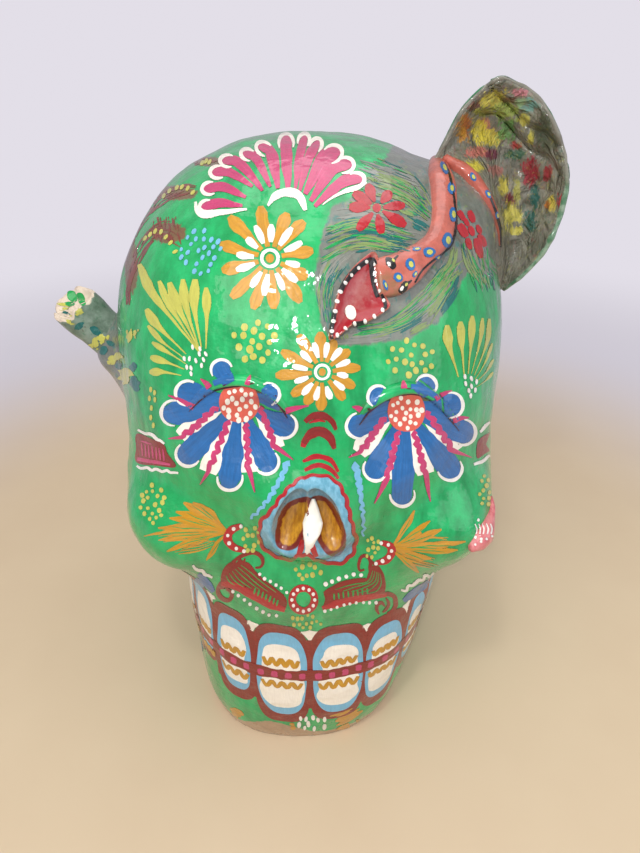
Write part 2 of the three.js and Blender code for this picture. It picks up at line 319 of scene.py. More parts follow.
class Graph:
    """A small helper for building a material's nodes."""

    def __init__(self, name):
        self.material = bpy.data.materials.new(name)
        self.material.use_nodes = True
        self.tree = self.material.node_tree
        self.tree.nodes.clear()
        self.out = self.add("ShaderNodeOutputMaterial")
        place = self.add("ShaderNodeTexCoord")
        self.mm = self.add("ShaderNodeVectorMath", {0: place.outputs["Object"]}, operation="SCALE")
        self.mm.inputs["Scale"].default_value = 1 / MM
        self.place = self.mm.outputs[0]

    def add(self, kind, inputs=None, **settings):
        node = self.tree.nodes.new(kind)
        for key, value in settings.items():
            setattr(node, key, value)
        for key, value in (inputs or {}).items():
            self.put(node.inputs[key], value)
        return node

    def put(self, socket, value):
        if isinstance(value, bpy.types.NodeSocket):
            self.tree.links.new(value, socket)
        else:
            socket.default_value = value

    def noise(self, size, detail=3.0, roughness=0.5, where=None, distortion=0.0):
        """Noise from 0 to 1 that varies over about size millimetres."""
        node = self.add("ShaderNodeTexNoise", {
            "Vector": where or self.place, "Scale": 1 / size, "Detail": detail,
            "Roughness": roughness, "Distortion": distortion})
        return node.outputs["Fac"]

    def maths(self, operation, a, b=0.5, c=0.5):
        node = self.add("ShaderNodeMath", {0: a, 1: b, 2: c}, operation=operation)
        return node.outputs[0]

    def ramp(self, value, low, high, to_low=0.0, to_high=1.0):
        node = self.add("ShaderNodeMapRange", {
            "Value": value, "From Min": low, "From Max": high, "To Min": to_low, "To Max": to_high},
            interpolation_type="SMOOTHSTEP")
        return node.outputs["Result"]

    def mix(self, factor, a, b):
        node = self.add("ShaderNodeMix", data_type="RGBA")
        self.put(node.inputs[0], factor)
        self.put(node.inputs[6], a)
        self.put(node.inputs[7], b)
        return node.outputs[2]

    def scaled(self, vector, x, y, z):
        return self.add("ShaderNodeVectorMath", {0: vector, 1: (x, y, z)}, operation="MULTIPLY").outputs[0]

    def near(self, centre, radius, soft):
        """1 inside a ball, falling to 0 over soft millimetres outside it."""
        away = self.add("ShaderNodeVectorMath", {0: self.place, 1: centre},
                        operation="DISTANCE").outputs["Value"]
        return self.ramp(away, radius + soft, radius)

    def paper_bump(self, strength=1.0, extra=None):
        """Fine lumps and fibres of pasted paper, the same across the skin and the paint on it."""
        lumps = self.noise(5.5, 2, 0.5)
        crinkle = self.noise(1.9, 3, 0.6)
        fibre = self.noise(0.7, 3, 0.6)
        height = self.maths("MULTIPLY_ADD", crinkle, 0.3, lumps)
        height = self.maths("MULTIPLY_ADD", fibre, 0.12, height)
        if extra is not None:
            height = self.maths("ADD", height, extra)
        node = self.add("ShaderNodeBump", {"Height": height, "Strength": strength, "Distance": 0.7 * MM})
        return node.outputs["Normal"]

    def varnish_bump(self):
        """The varnish fills the finest lumps and keeps the broad ones, so its glints stay sharp."""
        height = self.maths("MULTIPLY_ADD", self.noise(0.9, 2, 0.5), 0.06, self.noise(6.5, 2, 0.5))
        node = self.add("ShaderNodeBump", {"Height": height, "Strength": 0.8, "Distance": 0.7 * MM})
        return node.outputs["Normal"]

    def finish(self, colour, roughness, bump, coat=0.6, coat_roughness=0.04):
        shader = self.add("ShaderNodeBsdfPrincipled", {
            "Base Color": colour, "Roughness": roughness, "Normal": bump, "Coat Weight": coat,
            "Coat Roughness": coat_roughness, "Coat Normal": self.varnish_bump(), "IOR": 1.5,
            "Specular IOR Level": 0.25})
        self.put(self.out.inputs["Surface"], shader.outputs[0])
        return self.material


def linear(r, g, b):
    """A colour as seen on screen, from 0 to 255, as linear light."""
    def one(c):
        c = c / 255
        return c / 12.92 if c <= 0.04045 else ((c + 0.055) / 1.055) ** 2.4
    return (one(r), one(g), one(b), 1.0)


GREEN = linear(14, 168, 86)
BRIGHT_GREEN = linear(30, 188, 108)
DEEP_GREEN = linear(4, 134, 70)
GREY = linear(116, 121, 111)
DULL = linear(82, 122, 97)
RUST = linear(128, 66, 50)
KRAFT = linear(172, 142, 112)
TEAL = linear(18, 112, 104)
LIME = linear(132, 154, 84)
CORAL = linear(188, 100, 84)
CREAM = linear(232, 216, 188)
OLIVE = linear(129, 127, 113)
BROWN_RED = linear(120, 40, 34)


def shade(colour, factor):
    return tuple(min(1.0, c * factor) for c in colour[:3]) + (1.0,)


def ragged(g, name, size=3.0, soft=0.12, amount=0.6):
    """A zone attribute whose edge is broken up into brush marks."""
    value = g.add("ShaderNodeAttribute", attribute_name=name).outputs["Fac"]
    wobble = g.noise(size, 4, 0.65, g.scaled(g.place, 1, 1, 0.6))
    shifted = g.maths("MULTIPLY_ADD", g.maths("SUBTRACT", wobble, 0.5), amount * 2, value)
    return g.ramp(shifted, 0.5 - soft, 0.5 + soft)


def skin_material():
    g = Graph("green_paper")
    broad = g.noise(38, 3)
    brush = g.noise(7, 4, 0.6, g.scaled(g.place, 1, 1, 0.35))
    tone = g.mix(g.ramp(brush, 0.25, 0.75), DEEP_GREEN, BRIGHT_GREEN)
    tone = g.mix(g.ramp(broad, 0.35, 0.7, 0, 0.6), tone, GREEN)
    worn = g.ramp(g.noise(2.2, 5, 0.7), 0.66, 0.74, 0, 0.35)
    tone = g.mix(worn, tone, shade(BRIGHT_GREEN, 1.2))
    # a flat grey-green paint on the temples, the back and the jaw sides; on the jaw sides it is painted shade
    dull_paint_and_shade = g.add("ShaderNodeAttribute", attribute_name="dull_paint_and_shade").outputs["Fac"]
    streak = g.noise(3.2, 4, 0.65, g.scaled(g.place, 0.5, 0.5, 1.0))
    tone = g.mix(g.maths("MULTIPLY", dull_paint_and_shade, g.ramp(streak, 0.25, 0.65)), tone,
                 g.mix(streak, DULL, shade(GREY, 0.8)))
    rust_tone = g.mix(g.noise(2.5, 4), shade(RUST, 0.65), shade(RUST, 1.2))
    tone = g.mix(g.maths("MULTIPLY", ragged(g, "rust", 1.6, 0.18, 0.75), 0.85), tone, rust_tone)
    ash = g.mix(g.ramp(g.noise(5, 4, 0.6), 0.35, 0.7), shade(GREY, 0.82), shade(GREY, 1.15))
    ash = g.mix(g.ramp(g.noise(2.4, 4, 0.6, g.scaled(g.place, 1, 0.4, 0.7)), 0.56, 0.66, 0, 0.6), ash,
                shade(TEAL, 1.1))
    ash = g.mix(g.ramp(g.noise(2.9, 4, 0.6, g.scaled(g.place, 0.8, 0.5, 1.1)), 0.60, 0.68, 0, 0.5), ash, LIME)
    tone = g.mix(ragged(g, "grey", 4.0, 0.15, 0.45), tone, ash)
    kraft = g.mix(g.noise(4, 4), shade(KRAFT, 0.8), shade(KRAFT, 1.15))
    tone = g.mix(ragged(g, "bare", 3.0, 0.1, 0.3), tone, kraft)
    rim = g.add("ShaderNodeAttribute", attribute_name="nose_rim").outputs["Fac"]
    lobe = g.add("ShaderNodeAttribute", attribute_name="nose_lobe").outputs["Fac"]
    wander = g.maths("MULTIPLY", g.maths("SUBTRACT", g.noise(2.2, 3), 0.5), 1.6)
    sky = g.mix(g.ramp(g.noise(1.6, 4, 0.6, g.scaled(g.place, 1, 1, 0.4)), 0.35, 0.7), linear(96, 160, 182),
                linear(132, 190, 212))
    floor = g.mix(g.ramp(g.noise(2.0, 4, 0.6, g.scaled(g.place, 1.6, 1, 0.4)), 0.3, 0.7),
                  linear(168, 110, 30), linear(216, 158, 48))
    tone = g.mix(g.ramp(rim, 5.8, 6.2), tone, sky)
    tone = g.mix(g.ramp(g.maths("ADD", lobe, g.maths("MULTIPLY", wander, 0.4)), 5.8, 6.2), tone,
                 g.mix(g.noise(1.8, 3), shade(BROWN_RED, 0.8), shade(BROWN_RED, 1.25)))
    tone = g.mix(g.ramp(g.maths("ADD", lobe, wander), 7.3, 7.8), tone, floor)
    # painted shade, partly a real red-brown line: the brow edge over each eye socket is darkened
    lip = g.add("ShaderNodeAttribute", attribute_name="lip").outputs["Fac"]
    tone = g.mix(g.maths("MULTIPLY", lip, 0.85), tone, linear(110, 44, 52))
    rough = g.ramp(g.noise(11, 3), 0.3, 0.7, 0.26, 0.44)
    return g.finish(tone, rough, g.paper_bump(), coat=0.85)


def skin_of_snake():
    g = Graph("snake_coral")
    tone = g.mix(g.ramp(g.noise(5, 4, 0.6), 0.3, 0.7), shade(CORAL, 0.82), shade(CORAL, 1.12))
    band = g.near((22.5, -72.0, 214.0), 4.0, 4.5)
    tone = g.mix(g.maths("MULTIPLY", band, g.ramp(g.noise(2.5, 4), 0.3, 0.6)), tone, linear(150, 104, 74))
    worn = g.ramp(g.noise(1.6, 5, 0.7), 0.64, 0.7, 0, 0.5)
    tone = g.mix(worn, tone, shade(CORAL, 0.6))
    return g.finish(tone, 0.36, g.paper_bump(), coat=0.6)


def mouth_material():
    g = Graph("snake_mouth")
    dish = g.add("ShaderNodeAttribute", attribute_name="dish").outputs["Fac"]
    mottle = g.noise(3.5, 4, 0.6)
    inside = g.mix(g.ramp(mottle, 0.3, 0.7), linear(156, 34, 42), linear(168, 96, 92))
    edge = g.mix(mottle, linear(146, 20, 36), linear(176, 46, 50))
    tone = g.mix(g.ramp(dish, 0.35, 0.75), inside, edge)
    tone = g.mix(g.ramp(dish, 0.93, 0.96), tone, g.mix(mottle, shade(CORAL, 0.75), CORAL))
    return g.finish(tone, 0.25, g.paper_bump(0.7), coat=0.85)


def tail_material():
    g = Graph("tail_rose")
    tone = g.mix(g.ramp(g.noise(4, 4, 0.6), 0.3, 0.7), linear(196, 88, 96), linear(226, 138, 136))
    return g.finish(tone, 0.32, g.paper_bump(), coat=0.8)


def mossy(g):
    """Grey-green paper, with darker green and dirt-brown flecks laid at random."""
    tone = g.mix(g.ramp(g.noise(6, 4, 0.6), 0.3, 0.72), linear(90, 112, 94), linear(136, 154, 138))
    tone = g.mix(g.ramp(g.noise(2.5, 5, 0.65), 0.56, 0.68, 0, 0.55), tone, linear(60, 118, 84))
    return g.mix(g.ramp(g.noise(1.6, 4, 0.6), 0.62, 0.7, 0, 0.5), tone, linear(70, 64, 50))


def branch_material():
    g = Graph("branch_moss")
    torn = g.add("ShaderNodeAttribute", attribute_name="torn").outputs["Fac"]
    paper = g.mix(g.noise(2.2, 4), linear(206, 184, 158), linear(240, 226, 206))
    tone = g.mix(g.ramp(torn, 0.45, 0.8), mossy(g), paper)
    return g.finish(tone, 0.42, g.paper_bump(), coat=0.45)


def dab(g, tone, colour, where, centre, radii, amount=1.0):
    """A ragged dab of paint worked into the tone below it, at a place on the painter's plane."""
    offset = g.add("ShaderNodeVectorMath", {0: where, 1: (*centre, 0)}, operation="SUBTRACT").outputs[0]
    flat = g.scaled(offset, 1 / radii[0], 1 / radii[1], 1)
    away = g.add("ShaderNodeVectorMath", {0: flat}, operation="LENGTH").outputs["Value"]
    rough = g.noise(2.2, 6, 0.78, g.scaled(g.place, 1, 1, 0.55))
    shifted = g.maths("MULTIPLY_ADD", rough, -4.2, away)
    return g.mix(g.ramp(shifted, -0.9, -1.4, 0, amount), tone, colour)


HOOD_DABS = [  # colour on screen, place and reach of each dab on the hood, as the painter sees it
    ((104, 58, 40), (48.6, 100.1), (4.5, 1.8)), ((186, 104, 44), (45.2, 93.9), (2.0, 4.0)),
    ((196, 140, 48), (44.3, 91.5), (1.6, 3.0)), ((204, 192, 72), (54.3, 102.0), (4.0, 3.0)),
    ((164, 184, 84), (58.2, 98.6), (4.5, 3.5)), ((204, 124, 96), (51.5, 94.3), (2.6, 2.6)),
    ((212, 196, 70), (53.4, 90.5), (4.8, 2.8)), ((100, 152, 84), (58.2, 92.4), (2.8, 4.0)),
    ((206, 198, 84), (63.9, 95.8), (1.6, 2.6)), ((206, 198, 84), (65.8, 90.5), (1.3, 2.4)),
    ((176, 50, 52), (61.0, 87.6), (1.8, 1.4)), ((196, 112, 100), (49.5, 85.7), (4.0, 1.6)),
    ((110, 44, 66), (53.4, 84.8), (1.5, 2.0)), ((46, 92, 66), (61.0, 84.8), (3.2, 2.0)),
    ((168, 110, 100), (54.8, 80.0), (2.4, 1.8)), ((158, 32, 52), (65.8, 79.5), (2.6, 4.8)),
    ((158, 32, 52), (71.3, 79.0), (1.6, 2.4)), ((212, 200, 84), (57.4, 75.2), (1.6, 2.8)),
    ((136, 50, 64), (59.6, 70.9), (2.2, 1.8)), ((210, 200, 90), (59.6, 66.1), (3.0, 3.6)),
    ((210, 200, 90), (61.0, 61.3), (2.0, 1.6)), ((170, 168, 84), (61.5, 73.3), (1.2, 4.0)),
    ((28, 92, 84), (65.8, 64.2), (2.0, 3.2)), ((28, 92, 84), (67.2, 71.8), (1.5, 4.0)),
    ((208, 186, 72), (72.0, 69.9), (1.6, 2.2)), ((172, 40, 56), (75.1, 70.9), (1.0, 2.6)),
    ((204, 120, 56), (71.0, 69.5), (0.8, 1.6)), ((204, 132, 140), (62.9, 104.1), (2.6, 1.4)),
    ((116, 168, 156), (65.3, 100.1), (2.6, 2.6)), ((158, 190, 140), (62.5, 101.5), (2.4, 1.2)),
    ((112, 72, 52), (59.1, 102.0), (2.4, 1.0)), ((220, 206, 70), (48.1, 81.0), (2.8, 2.0)),
    ((78, 86, 66), (69.6, 93.2), (3.4, 5.0)), ((86, 90, 70), (71.6, 88.4), (3.0, 3.4)),
    ((150, 152, 60), (51.0, 98.0), (3.0, 1.6)), ((222, 206, 70), (50.2, 92.6), (2.6, 3.6)),
]


def hood_material():
    g = Graph("hood_olive")
    outside = g.add("ShaderNodeAttribute", attribute_name="outside").outputs["Fac"]
    inner = g.mix(g.ramp(g.noise(7, 4, 0.6), 0.3, 0.7), shade(OLIVE, 0.75), shade(OLIVE, 1.2))
    inner = g.mix(g.ramp(g.noise(3, 5, 0.65), 0.56, 0.68, 0, 0.5), inner, linear(84, 92, 66))
    inner = g.mix(g.ramp(g.noise(4, 4, 0.65, g.scaled(g.place, 1, 1, 0.5)), 0.6, 0.7, 0, 0.45), inner,
                  linear(120, 104, 112))
    seen = g.add("ShaderNodeAttribute", attribute_name="seen_at").outputs["Vector"]
    for colour, centre, radii in HOOD_DABS:
        colour = linear(*colour)
        inner = dab(g, inner, g.mix(g.noise(1.8, 3), shade(colour, 0.8), shade(colour, 1.15)), seen, centre,
                    radii, 0.9)
    for size, colour in ((2.1, linear(150, 146, 70)), (2.6, linear(58, 74, 56)), (1.9, linear(136, 84, 78)),
                         (2.3, linear(70, 110, 88))):
        speck = g.noise(size, 5, 0.7, g.scaled(g.place, 1, 1, 0.7), 0.4 * size)
        inner = g.mix(g.ramp(speck, 0.56, 0.66, 0, 0.5), inner, colour)
    outer = g.mix(g.ramp(g.noise(9, 4), 0.35, 0.65), mossy(g), g.mix(g.noise(3, 4), DEEP_GREEN, DULL))
    tone = g.mix(g.ramp(outside, 0.4, 0.6), inner, outer)
    fold = g.maths("ABSOLUTE", g.maths("SUBTRACT", g.noise(8, 3, 0.55, g.scaled(g.place, 1, 1, 0.7), 0.8),
                                       0.5))
    return g.finish(tone, 0.46, g.paper_bump(extra=g.maths("MULTIPLY", fold, -8.0)), coat=0.5,
                    coat_roughness=0.1)


def rim_material():
    g = Graph("hood_rim_green")
    tone = g.mix(g.ramp(g.noise(4, 5, 0.65), 0.4, 0.62), linear(84, 128, 96), linear(150, 172, 148))
    low = g.ramp(g.add("ShaderNodeSeparateXYZ", {0: g.place}).outputs["Z"], 232, 242)
    tone = g.mix(low, tone, g.mix(g.noise(4, 3), shade(OLIVE, 0.8), shade(OLIVE, 1.15)))
    return g.finish(tone, 0.3, g.paper_bump(), coat=0.8)


def plain_paper(name, colour, seed_size=5.0, rough=0.75, bump=0.6):
    g = Graph(name)
    tone = g.mix(g.noise(seed_size, 4, 0.6), shade(colour, 0.78), shade(colour, 1.12))
    tone = g.mix(g.ramp(g.noise(0.8, 3, 0.6, g.scaled(g.place, 1, 0.2, 1)), 0.6, 0.7, 0, 0.4), tone,
                 shade(colour, 0.6))
    return g.finish(tone, rough, g.paper_bump(bump), coat=0.0)


def paint_material(name, colour, under=GREEN, thin=0.25, rough=0.34, coat=0.8, spread=0.2):
    """Poster paint laid by a brush: streaks follow each stroke, and under shows through where it is thin."""
    g = Graph(name)
    stroke = g.add("ShaderNodeAttribute", attribute_name="stroke").outputs["Vector"]
    streak = g.noise(1.0, 3, 0.6, g.scaled(stroke, 0.16, 1.5, 7.3))
    patch = g.noise(5.5, 3, 0.5)
    tone = g.mix(g.ramp(streak, 0.2, 0.8), shade(colour, 1 - spread), shade(colour, 1 + spread * 0.8))
    tone = g.mix(g.ramp(patch, 0.3, 0.75, 0, 0.5), tone, shade(colour, 1 - spread * 0.6))
    gaps = g.maths("MULTIPLY", g.ramp(streak, 0.62, 0.8), thin * 1.6)
    tone = g.mix(gaps, tone, under)
    roughness = g.ramp(g.noise(6, 3), 0.3, 0.7, rough - 0.06, rough + 0.12)
    ridges = g.maths("MULTIPLY", streak, 0.12)
    return g.finish(tone, roughness, g.paper_bump(extra=ridges), coat=coat)


PAINTS = {"white": paint_material("paint_white", linear(242, 238, 228), thin=0.15, spread=0.07),
          "cream": paint_material("paint_cream", linear(250, 242, 226), under=shade(CREAM, 0.9), thin=0.25,
                                  spread=0.08), "yellow": paint_material("paint_yellow",
        linear(196, 194, 88), thin=0.4, spread=0.16), "gold": paint_material("paint_gold",
        linear(200, 144, 24), thin=0.3, spread=0.22), "ochre": paint_material("paint_ochre",
        linear(200, 144, 42), thin=0.45, spread=0.25), "coral": paint_material("paint_coral",
        linear(220, 96, 78), thin=0.08, spread=0.14), "magenta": paint_material("paint_magenta",
        linear(196, 58, 108), under=linear(206, 110, 150), thin=0.35, spread=0.18),
        "blue": paint_material("paint_blue", linear(36, 104, 166), under=linear(26, 74, 128), thin=0.4,
                               spread=0.26), "sky": paint_material("paint_sky", linear(118, 186, 218),
        under=linear(80, 160, 180), thin=0.35, spread=0.14), "brown": paint_material("paint_brown",
        linear(134, 30, 24), under=linear(150, 70, 50), thin=0.3, spread=0.24),
        "maroon": paint_material("paint_maroon", linear(70, 26, 32), under=linear(96, 40, 40), thin=0.3,
                                 spread=0.3), "rust": paint_material("paint_rust", linear(126, 60, 46),
        under=GREY, thin=0.6, spread=0.3), "red": paint_material("paint_red", linear(176, 22, 34),
        under=linear(200, 70, 60), thin=0.3, spread=0.22), "black": paint_material("paint_black",
        linear(22, 18, 20), thin=0.05, spread=0.3), "lime": paint_material("paint_lime",
        linear(128, 150, 88), under=linear(80, 116, 92), thin=0.6, spread=0.25),
        "teal": paint_material("paint_teal", linear(16, 104, 98), under=GREY, thin=0.5, spread=0.3),
        "grey": paint_material("paint_grey", linear(134, 136, 126), under=GREY, thin=0.4, spread=0.2),
        "green": paint_material("paint_green", linear(24, 160, 74), under=GREEN, thin=0.3, spread=0.3),}


# ---------------------------------------------------------------- surfaces and the ways of drawing on them

def mesh_arrays(mesh):
    """Vertices in millimetres, and their normals."""
    points = np.empty(len(mesh.vertices) * 3, np.float32)
    normals = np.empty(len(mesh.vertices) * 3, np.float32)
    mesh.vertices.foreach_get("co", points)
    mesh.vertices.foreach_get("normal", normals)
    return points.reshape(-1, 3) / MM, normals.reshape(-1, 3)


class Surface:
    """A mesh, or several, that paint can be laid on."""

    def __init__(self, *objects):
        points, faces, normals = [], [], []
        for o in objects:
            start = sum(len(p) for p in points)
            places, outwards = mesh_arrays(o.data)
            points.append(places)
            normals.append(outwards)
            faces += [[start + v for v in p.vertices] for p in o.data.polygons]
        self.points, self.normals, self.faces = np.concatenate(points), np.concatenate(normals), faces
        self.tree = BVHTree.FromPolygons(self.points.tolist(), faces)

    def smooth(self, place, face):
        ids = self.faces[face]
        corners = self.points[ids]
        weight = 1 / (np.linalg.norm(corners - np.array(place), axis=1) + 0.05) ** 2
        n = (self.normals[ids] * weight[:, None]).sum(0)
        return n / np.linalg.norm(n)

    def cast(self, origin, direction):
        place, _, face, _ = self.tree.ray_cast(Vector(origin), Vector(direction))
        return None if place is None else (np.array(place), self.smooth(place, face))

    def nearest(self, point):
        place, _, face, _ = self.tree.find_nearest(Vector(point))
        return np.array(place), self.smooth(place, face)


class FromSight:
    """Drawing as the painter sees it: u to the right and v up, in millimetres on a plane in front of the nose
    bridge that faces the painter's eye. at() gives the same chart with its zero moved."""

    def __init__(self, surface, u=0.0, v=0.0):
        self.surface, self.u, self.v = surface, u, v

    def at(self, u, v):
        return FromSight(self.surface, self.u + u, self.v + v)

    def put(self, u, v):
        target = SIGHT_PLANE + (self.u + u) * SIGHT_RIGHT + (self.v + v) * SIGHT_UP
        return self.surface.cast(SIGHT, target - SIGHT)


def on_sight_plane(p):
    """Where points are seen on the painter's plane, and how much larger than life."""
    away = p - SIGHT
    size = PLANE_AWAY / (away @ SIGHT_AHEAD)
    return (away @ SIGHT_RIGHT) * size, (away @ SIGHT_UP) * size, size


class RoundJaw:
    """Drawing round the jaw: u is the arc from the middle of the face, v the height above the table."""

    RADIUS, AXIS = 61.0, np.array((0.0, -22.0))

    def __init__(self, surface):
        self.surface = surface

    def put(self, u, v):
        angle = u / self.RADIUS
        out = np.array((math.sin(angle), -math.cos(angle), 0.0))
        start = np.array((self.AXIS[0], self.AXIS[1], v)) + out * 140
        return self.surface.cast(start, -out)


class OnFace:
    """Drawing on the plane that touches the surface at the anchor, with up as its v direction."""

    def __init__(self, surface, anchor, up=(0, 0, 1), turn=0.0):
        self.surface = surface
        self.anchor, self.normal = surface.nearest(anchor)
        up = np.array(up, float)
        up = up - self.normal * (up @ self.normal)
        up /= np.linalg.norm(up)
        side = np.cross(up, self.normal)
        a = math.radians(turn)
        self.up = up * math.cos(a) - side * math.sin(a)
        self.side = side * math.cos(a) + up * math.sin(a)

    def put(self, u, v):
        start = self.anchor + u * self.side + v * self.up + 30 * self.normal
        return self.surface.cast(start, -self.normal)


# ---------------------------------------------------------------- strokes

def stretch(chart, line):
    """How much longer a drawn line is on the surface than on its chart."""
    hits = [chart.put(*point) for point in line]
    ratios = [np.linalg.norm(b[0] - a[0]) / (np.linalg.norm(q - p) + 1e-6)
              for a, b, p, q in zip(hits, hits[1:], line, line[1:]) if a is not None and b is not None]
    return float(np.median(ratios)) if ratios else 1.0


def jumps(places, normals, grid, axis):
    """Where neighbours on a grid lie on different sides of an edge rather than along one surface."""
    away = np.diff(places, axis=axis)
    gap = np.linalg.norm(away, axis=2)
    flat = np.linalg.norm(np.diff(grid, axis=axis), axis=2)
    n = normals.shape[axis]
    mean = np.take(normals, range(n - 1), axis) + np.take(normals, range(1, n), axis)
    off = np.abs((away * mean).sum(-1)) / 2
    return (gap > 1.2 + 2 * flat) & (off > 0.45 * gap)


class Layer:
    """Brush strokes of one colour and one motif, kept as one mesh of thin closed solids."""

    SINK = 0.35

    def __init__(self, name, paint, lift=0.12):
        self.name, self.paint, self.lift = name, paint, lift
        self.points, self.faces, self.normals, self.marks = [], [], [], []
        self.count = 0

    def solid(self, places, normals, heights, marks):
        """One closed solid over an n by m grid of surface places."""
        n, m = places.shape[:2]
        top = places + normals * heights[..., None]
        low = places - normals * self.SINK
        base = self.count
        self.points.append(np.concatenate([top.reshape(-1, 3), low.reshape(-1, 3)]))
        self.normals.append(np.concatenate([normals.reshape(-1, 3)] * 2))
        self.marks.append(np.concatenate([marks.reshape(-1, 3)] * 2))
        self.count += 2 * n * m

        def at(i, j, under=0):
            return base + under * n * m + i * m + j

        for i in range(n - 1):
            for j in range(m - 1):
                self.faces.append((at(i, j), at(i + 1, j), at(i + 1, j + 1), at(i, j + 1)))
                self.faces.append((at(i, j, 1), at(i, j + 1, 1), at(i + 1, j + 1, 1), at(i + 1, j, 1)))
            self.faces.append((at(i, 0), at(i, 0, 1), at(i + 1, 0, 1), at(i + 1, 0)))
            self.faces.append((at(i, m - 1), at(i + 1, m - 1), at(i + 1, m - 1, 1), at(i, m - 1, 1)))
        for j in range(m - 1):
            self.faces.append((at(0, j), at(0, j + 1), at(0, j + 1, 1), at(0, j, 1)))
            self.faces.append((at(n - 1, j), at(n - 1, j, 1), at(n - 1, j + 1, 1), at(n - 1, j + 1)))

    def ribbon(self, chart, line, widths, wobble=0.12, step=0.9):
        """A stroke along a line of (u, v) points. widths are half widths at even steps along it."""
        line = resampled(np.array(line, float), 1.5)
        step = step / min(3.0, max(1.0, stretch(chart, line)))
        line = resampled(line, step)
        n = len(line)
        t = np.linspace(0, 1, n)
        half = np.interp(t, np.linspace(0, 1, len(widths)), widths)
        along = np.gradient(line, axis=0)
        along /= np.linalg.norm(along, axis=1)[:, None] + 1e-9
        across = np.stack([-along[:, 1], along[:, 0]], -1)
        if wobble:
            seed = int(rng.integers(1 << 20))
            path = np.stack([t * n * step, np.zeros(n), np.zeros(n)], -1)
            line = line + across * (noise(path, 3.5, seed) * wobble)[:, None]
            half = half * (1 + 0.12 * noise(path, 2.2, seed + 1))
        middle = line[n // 2]
        wide = stretch(chart, np.stack([middle - across[n // 2] * 1.5, middle,
                                        middle + across[n // 2] * 1.5]))
        columns = int(max(3, min(17, 2 * math.ceil(half.max() * min(wide, 3.0) / 1.1) + 1)))
        s = np.linspace(-1, 1, columns)
        grid = line[:, None, :] + across[:, None, :] * (half[:, None] * s[None, :])[..., None]
        length = np.concatenate([[0], np.cumsum(np.linalg.norm(np.diff(line, axis=0), axis=1))])
        mark = rng.random()
        marks = np.stack([np.broadcast_to(length[:, None], (n, columns)), half[:, None] * s[None, :],
                          np.full((n, columns), mark)], -1)
        self.lay(chart, grid, 0.05 * (1 - s[None, :] ** 2) * np.ones((n, 1)), marks)

    def lay(self, chart, grid, swell, marks):
        """Lays a grid of (u, v) points on the surface, leaving out rows that fall off it or over an edge."""
        n, m = grid.shape[:2]
        places, normals = np.zeros((n, m, 3)), np.zeros((n, m, 3))
        good = np.ones(n, bool)
        for i in range(n):
            for j in range(m):
                hit = chart.put(*grid[i, j])
                if hit is None:
                    good[i] = False
                    break
                places[i, j], normals[i, j] = hit
        good &= ~jumps(places, normals, grid, 1).any(axis=1)
        cut = jumps(places, normals, grid, 0).any(axis=1)
        heights = self.lift + swell
        start = 0
        for i in range(1, n + 1):
            if i == n or not good[i] or not good[i - 1] or cut[i - 1]:
                run = slice(start, i)
                if i - start >= 2 and good[run].all():
                    self.solid(places[run], normals[run], heights[run], marks[run])
                start = i

    def blob(self, chart, centre, half_u, half_v, square=2.0, turn=0.0, wobble=0.06, dome=0.05):
        """A filled dot, oval or rounded box."""
        a = math.radians(turn)
        way = np.array((-math.sin(a), math.cos(a)))
        tall = stretch(chart, np.stack([centre - way * half_v, centre, centre + way * half_v]))
        side = np.array((math.cos(a), math.sin(a)))
        wide = stretch(chart, np.stack([centre - side * half_u, centre, centre + side * half_u]))
        stations = max(7, int(2 * half_v * min(tall, 3.0) / 0.9) + 3)
        t = -np.cos(np.linspace(0, math.pi, stations))
        width = half_u * np.maximum(1 - np.abs(t) ** square, 0.0) ** (1 / square) + 0.02
        seed = int(rng.integers(1 << 20))
        path = np.stack([t * 3, np.zeros(stations), np.zeros(stations)], -1)
        left = 1 + wobble * noise(path, 1.3, seed)
        right = 1 + wobble * noise(path, 1.3, seed + 1)
        columns = int(max(5, min(25, 2 * math.ceil(half_u * min(wide, 3.0) / 1.1) + 1)))
        s = np.linspace(-1, 1, columns)
        across = width[:, None] * s[None, :] * np.where(s[None, :] < 0, left[:, None], right[:, None])
        v = np.broadcast_to((-t * half_v)[:, None], across.shape)
        grid = np.stack([centre[0] + across * math.cos(a) - v * math.sin(a),
                         centre[1] + across * math.sin(a) + v * math.cos(a)], -1)
        marks = np.stack([v, across, np.full(across.shape, rng.random())], -1)
        swell = dome * (1 - s[None, :] ** 2) * (1 - t[:, None] ** 2)
        self.lay(chart, grid, swell, marks)

    def ring(self, chart, centre, radius, half_width):
        angles = np.linspace(0, 2 * math.pi, 25)
        line = [(centre[0] + radius * math.cos(a), centre[1] + radius * math.sin(a)) for a in angles]
        self.ribbon(chart, line, [half_width], wobble=0.05, step=0.7)

    def finish(self):
        if not self.points:
            return None
        points, normals = np.concatenate(self.points), np.concatenate(self.normals)
        made = object_from(self.name, points, self.faces, PAINTS[self.paint], normals=normals)
        attribute = made.data.attributes.new("stroke", "FLOAT_VECTOR", "POINT")
        attribute.data.foreach_set("vector", np.concatenate(self.marks).astype(np.float32).ravel())
        return made


def spline(points, steps):
    """Points on the smooth curve through all but the first and last of points, with steps to each span."""
    dense = []
    for a, b, c, d in zip(points, points[1:], points[2:], points[3:]):
        for t in np.linspace(0, 1, steps, endpoint=False):
            dense.append(0.5 * (2 * b + (c - a) * t + (2 * a - 5 * b + 4 * c - d) * t * t
                                + (3 * b - a - 3 * c + d) * t ** 3))
    return dense


def open_curve(line, steps):
    """The smooth curve through every point of a line."""
    padded = np.concatenate([[2 * line[0] - line[1]], line, [2 * line[-1] - line[-2]]])
    return np.array(spline(padded, steps) + [line[-1]])


def lengths_along(line):
    return np.concatenate([[0], np.cumsum(np.linalg.norm(np.diff(line, axis=0), axis=1))])


def even_points(line, count, endpoint=True):
    """A number of points at even distances along a line."""
    length = lengths_along(line)
    even = np.linspace(0, length[-1], count, endpoint=endpoint)
    return np.stack([np.interp(even, length, line[:, k]) for k in range(line.shape[1])], -1)


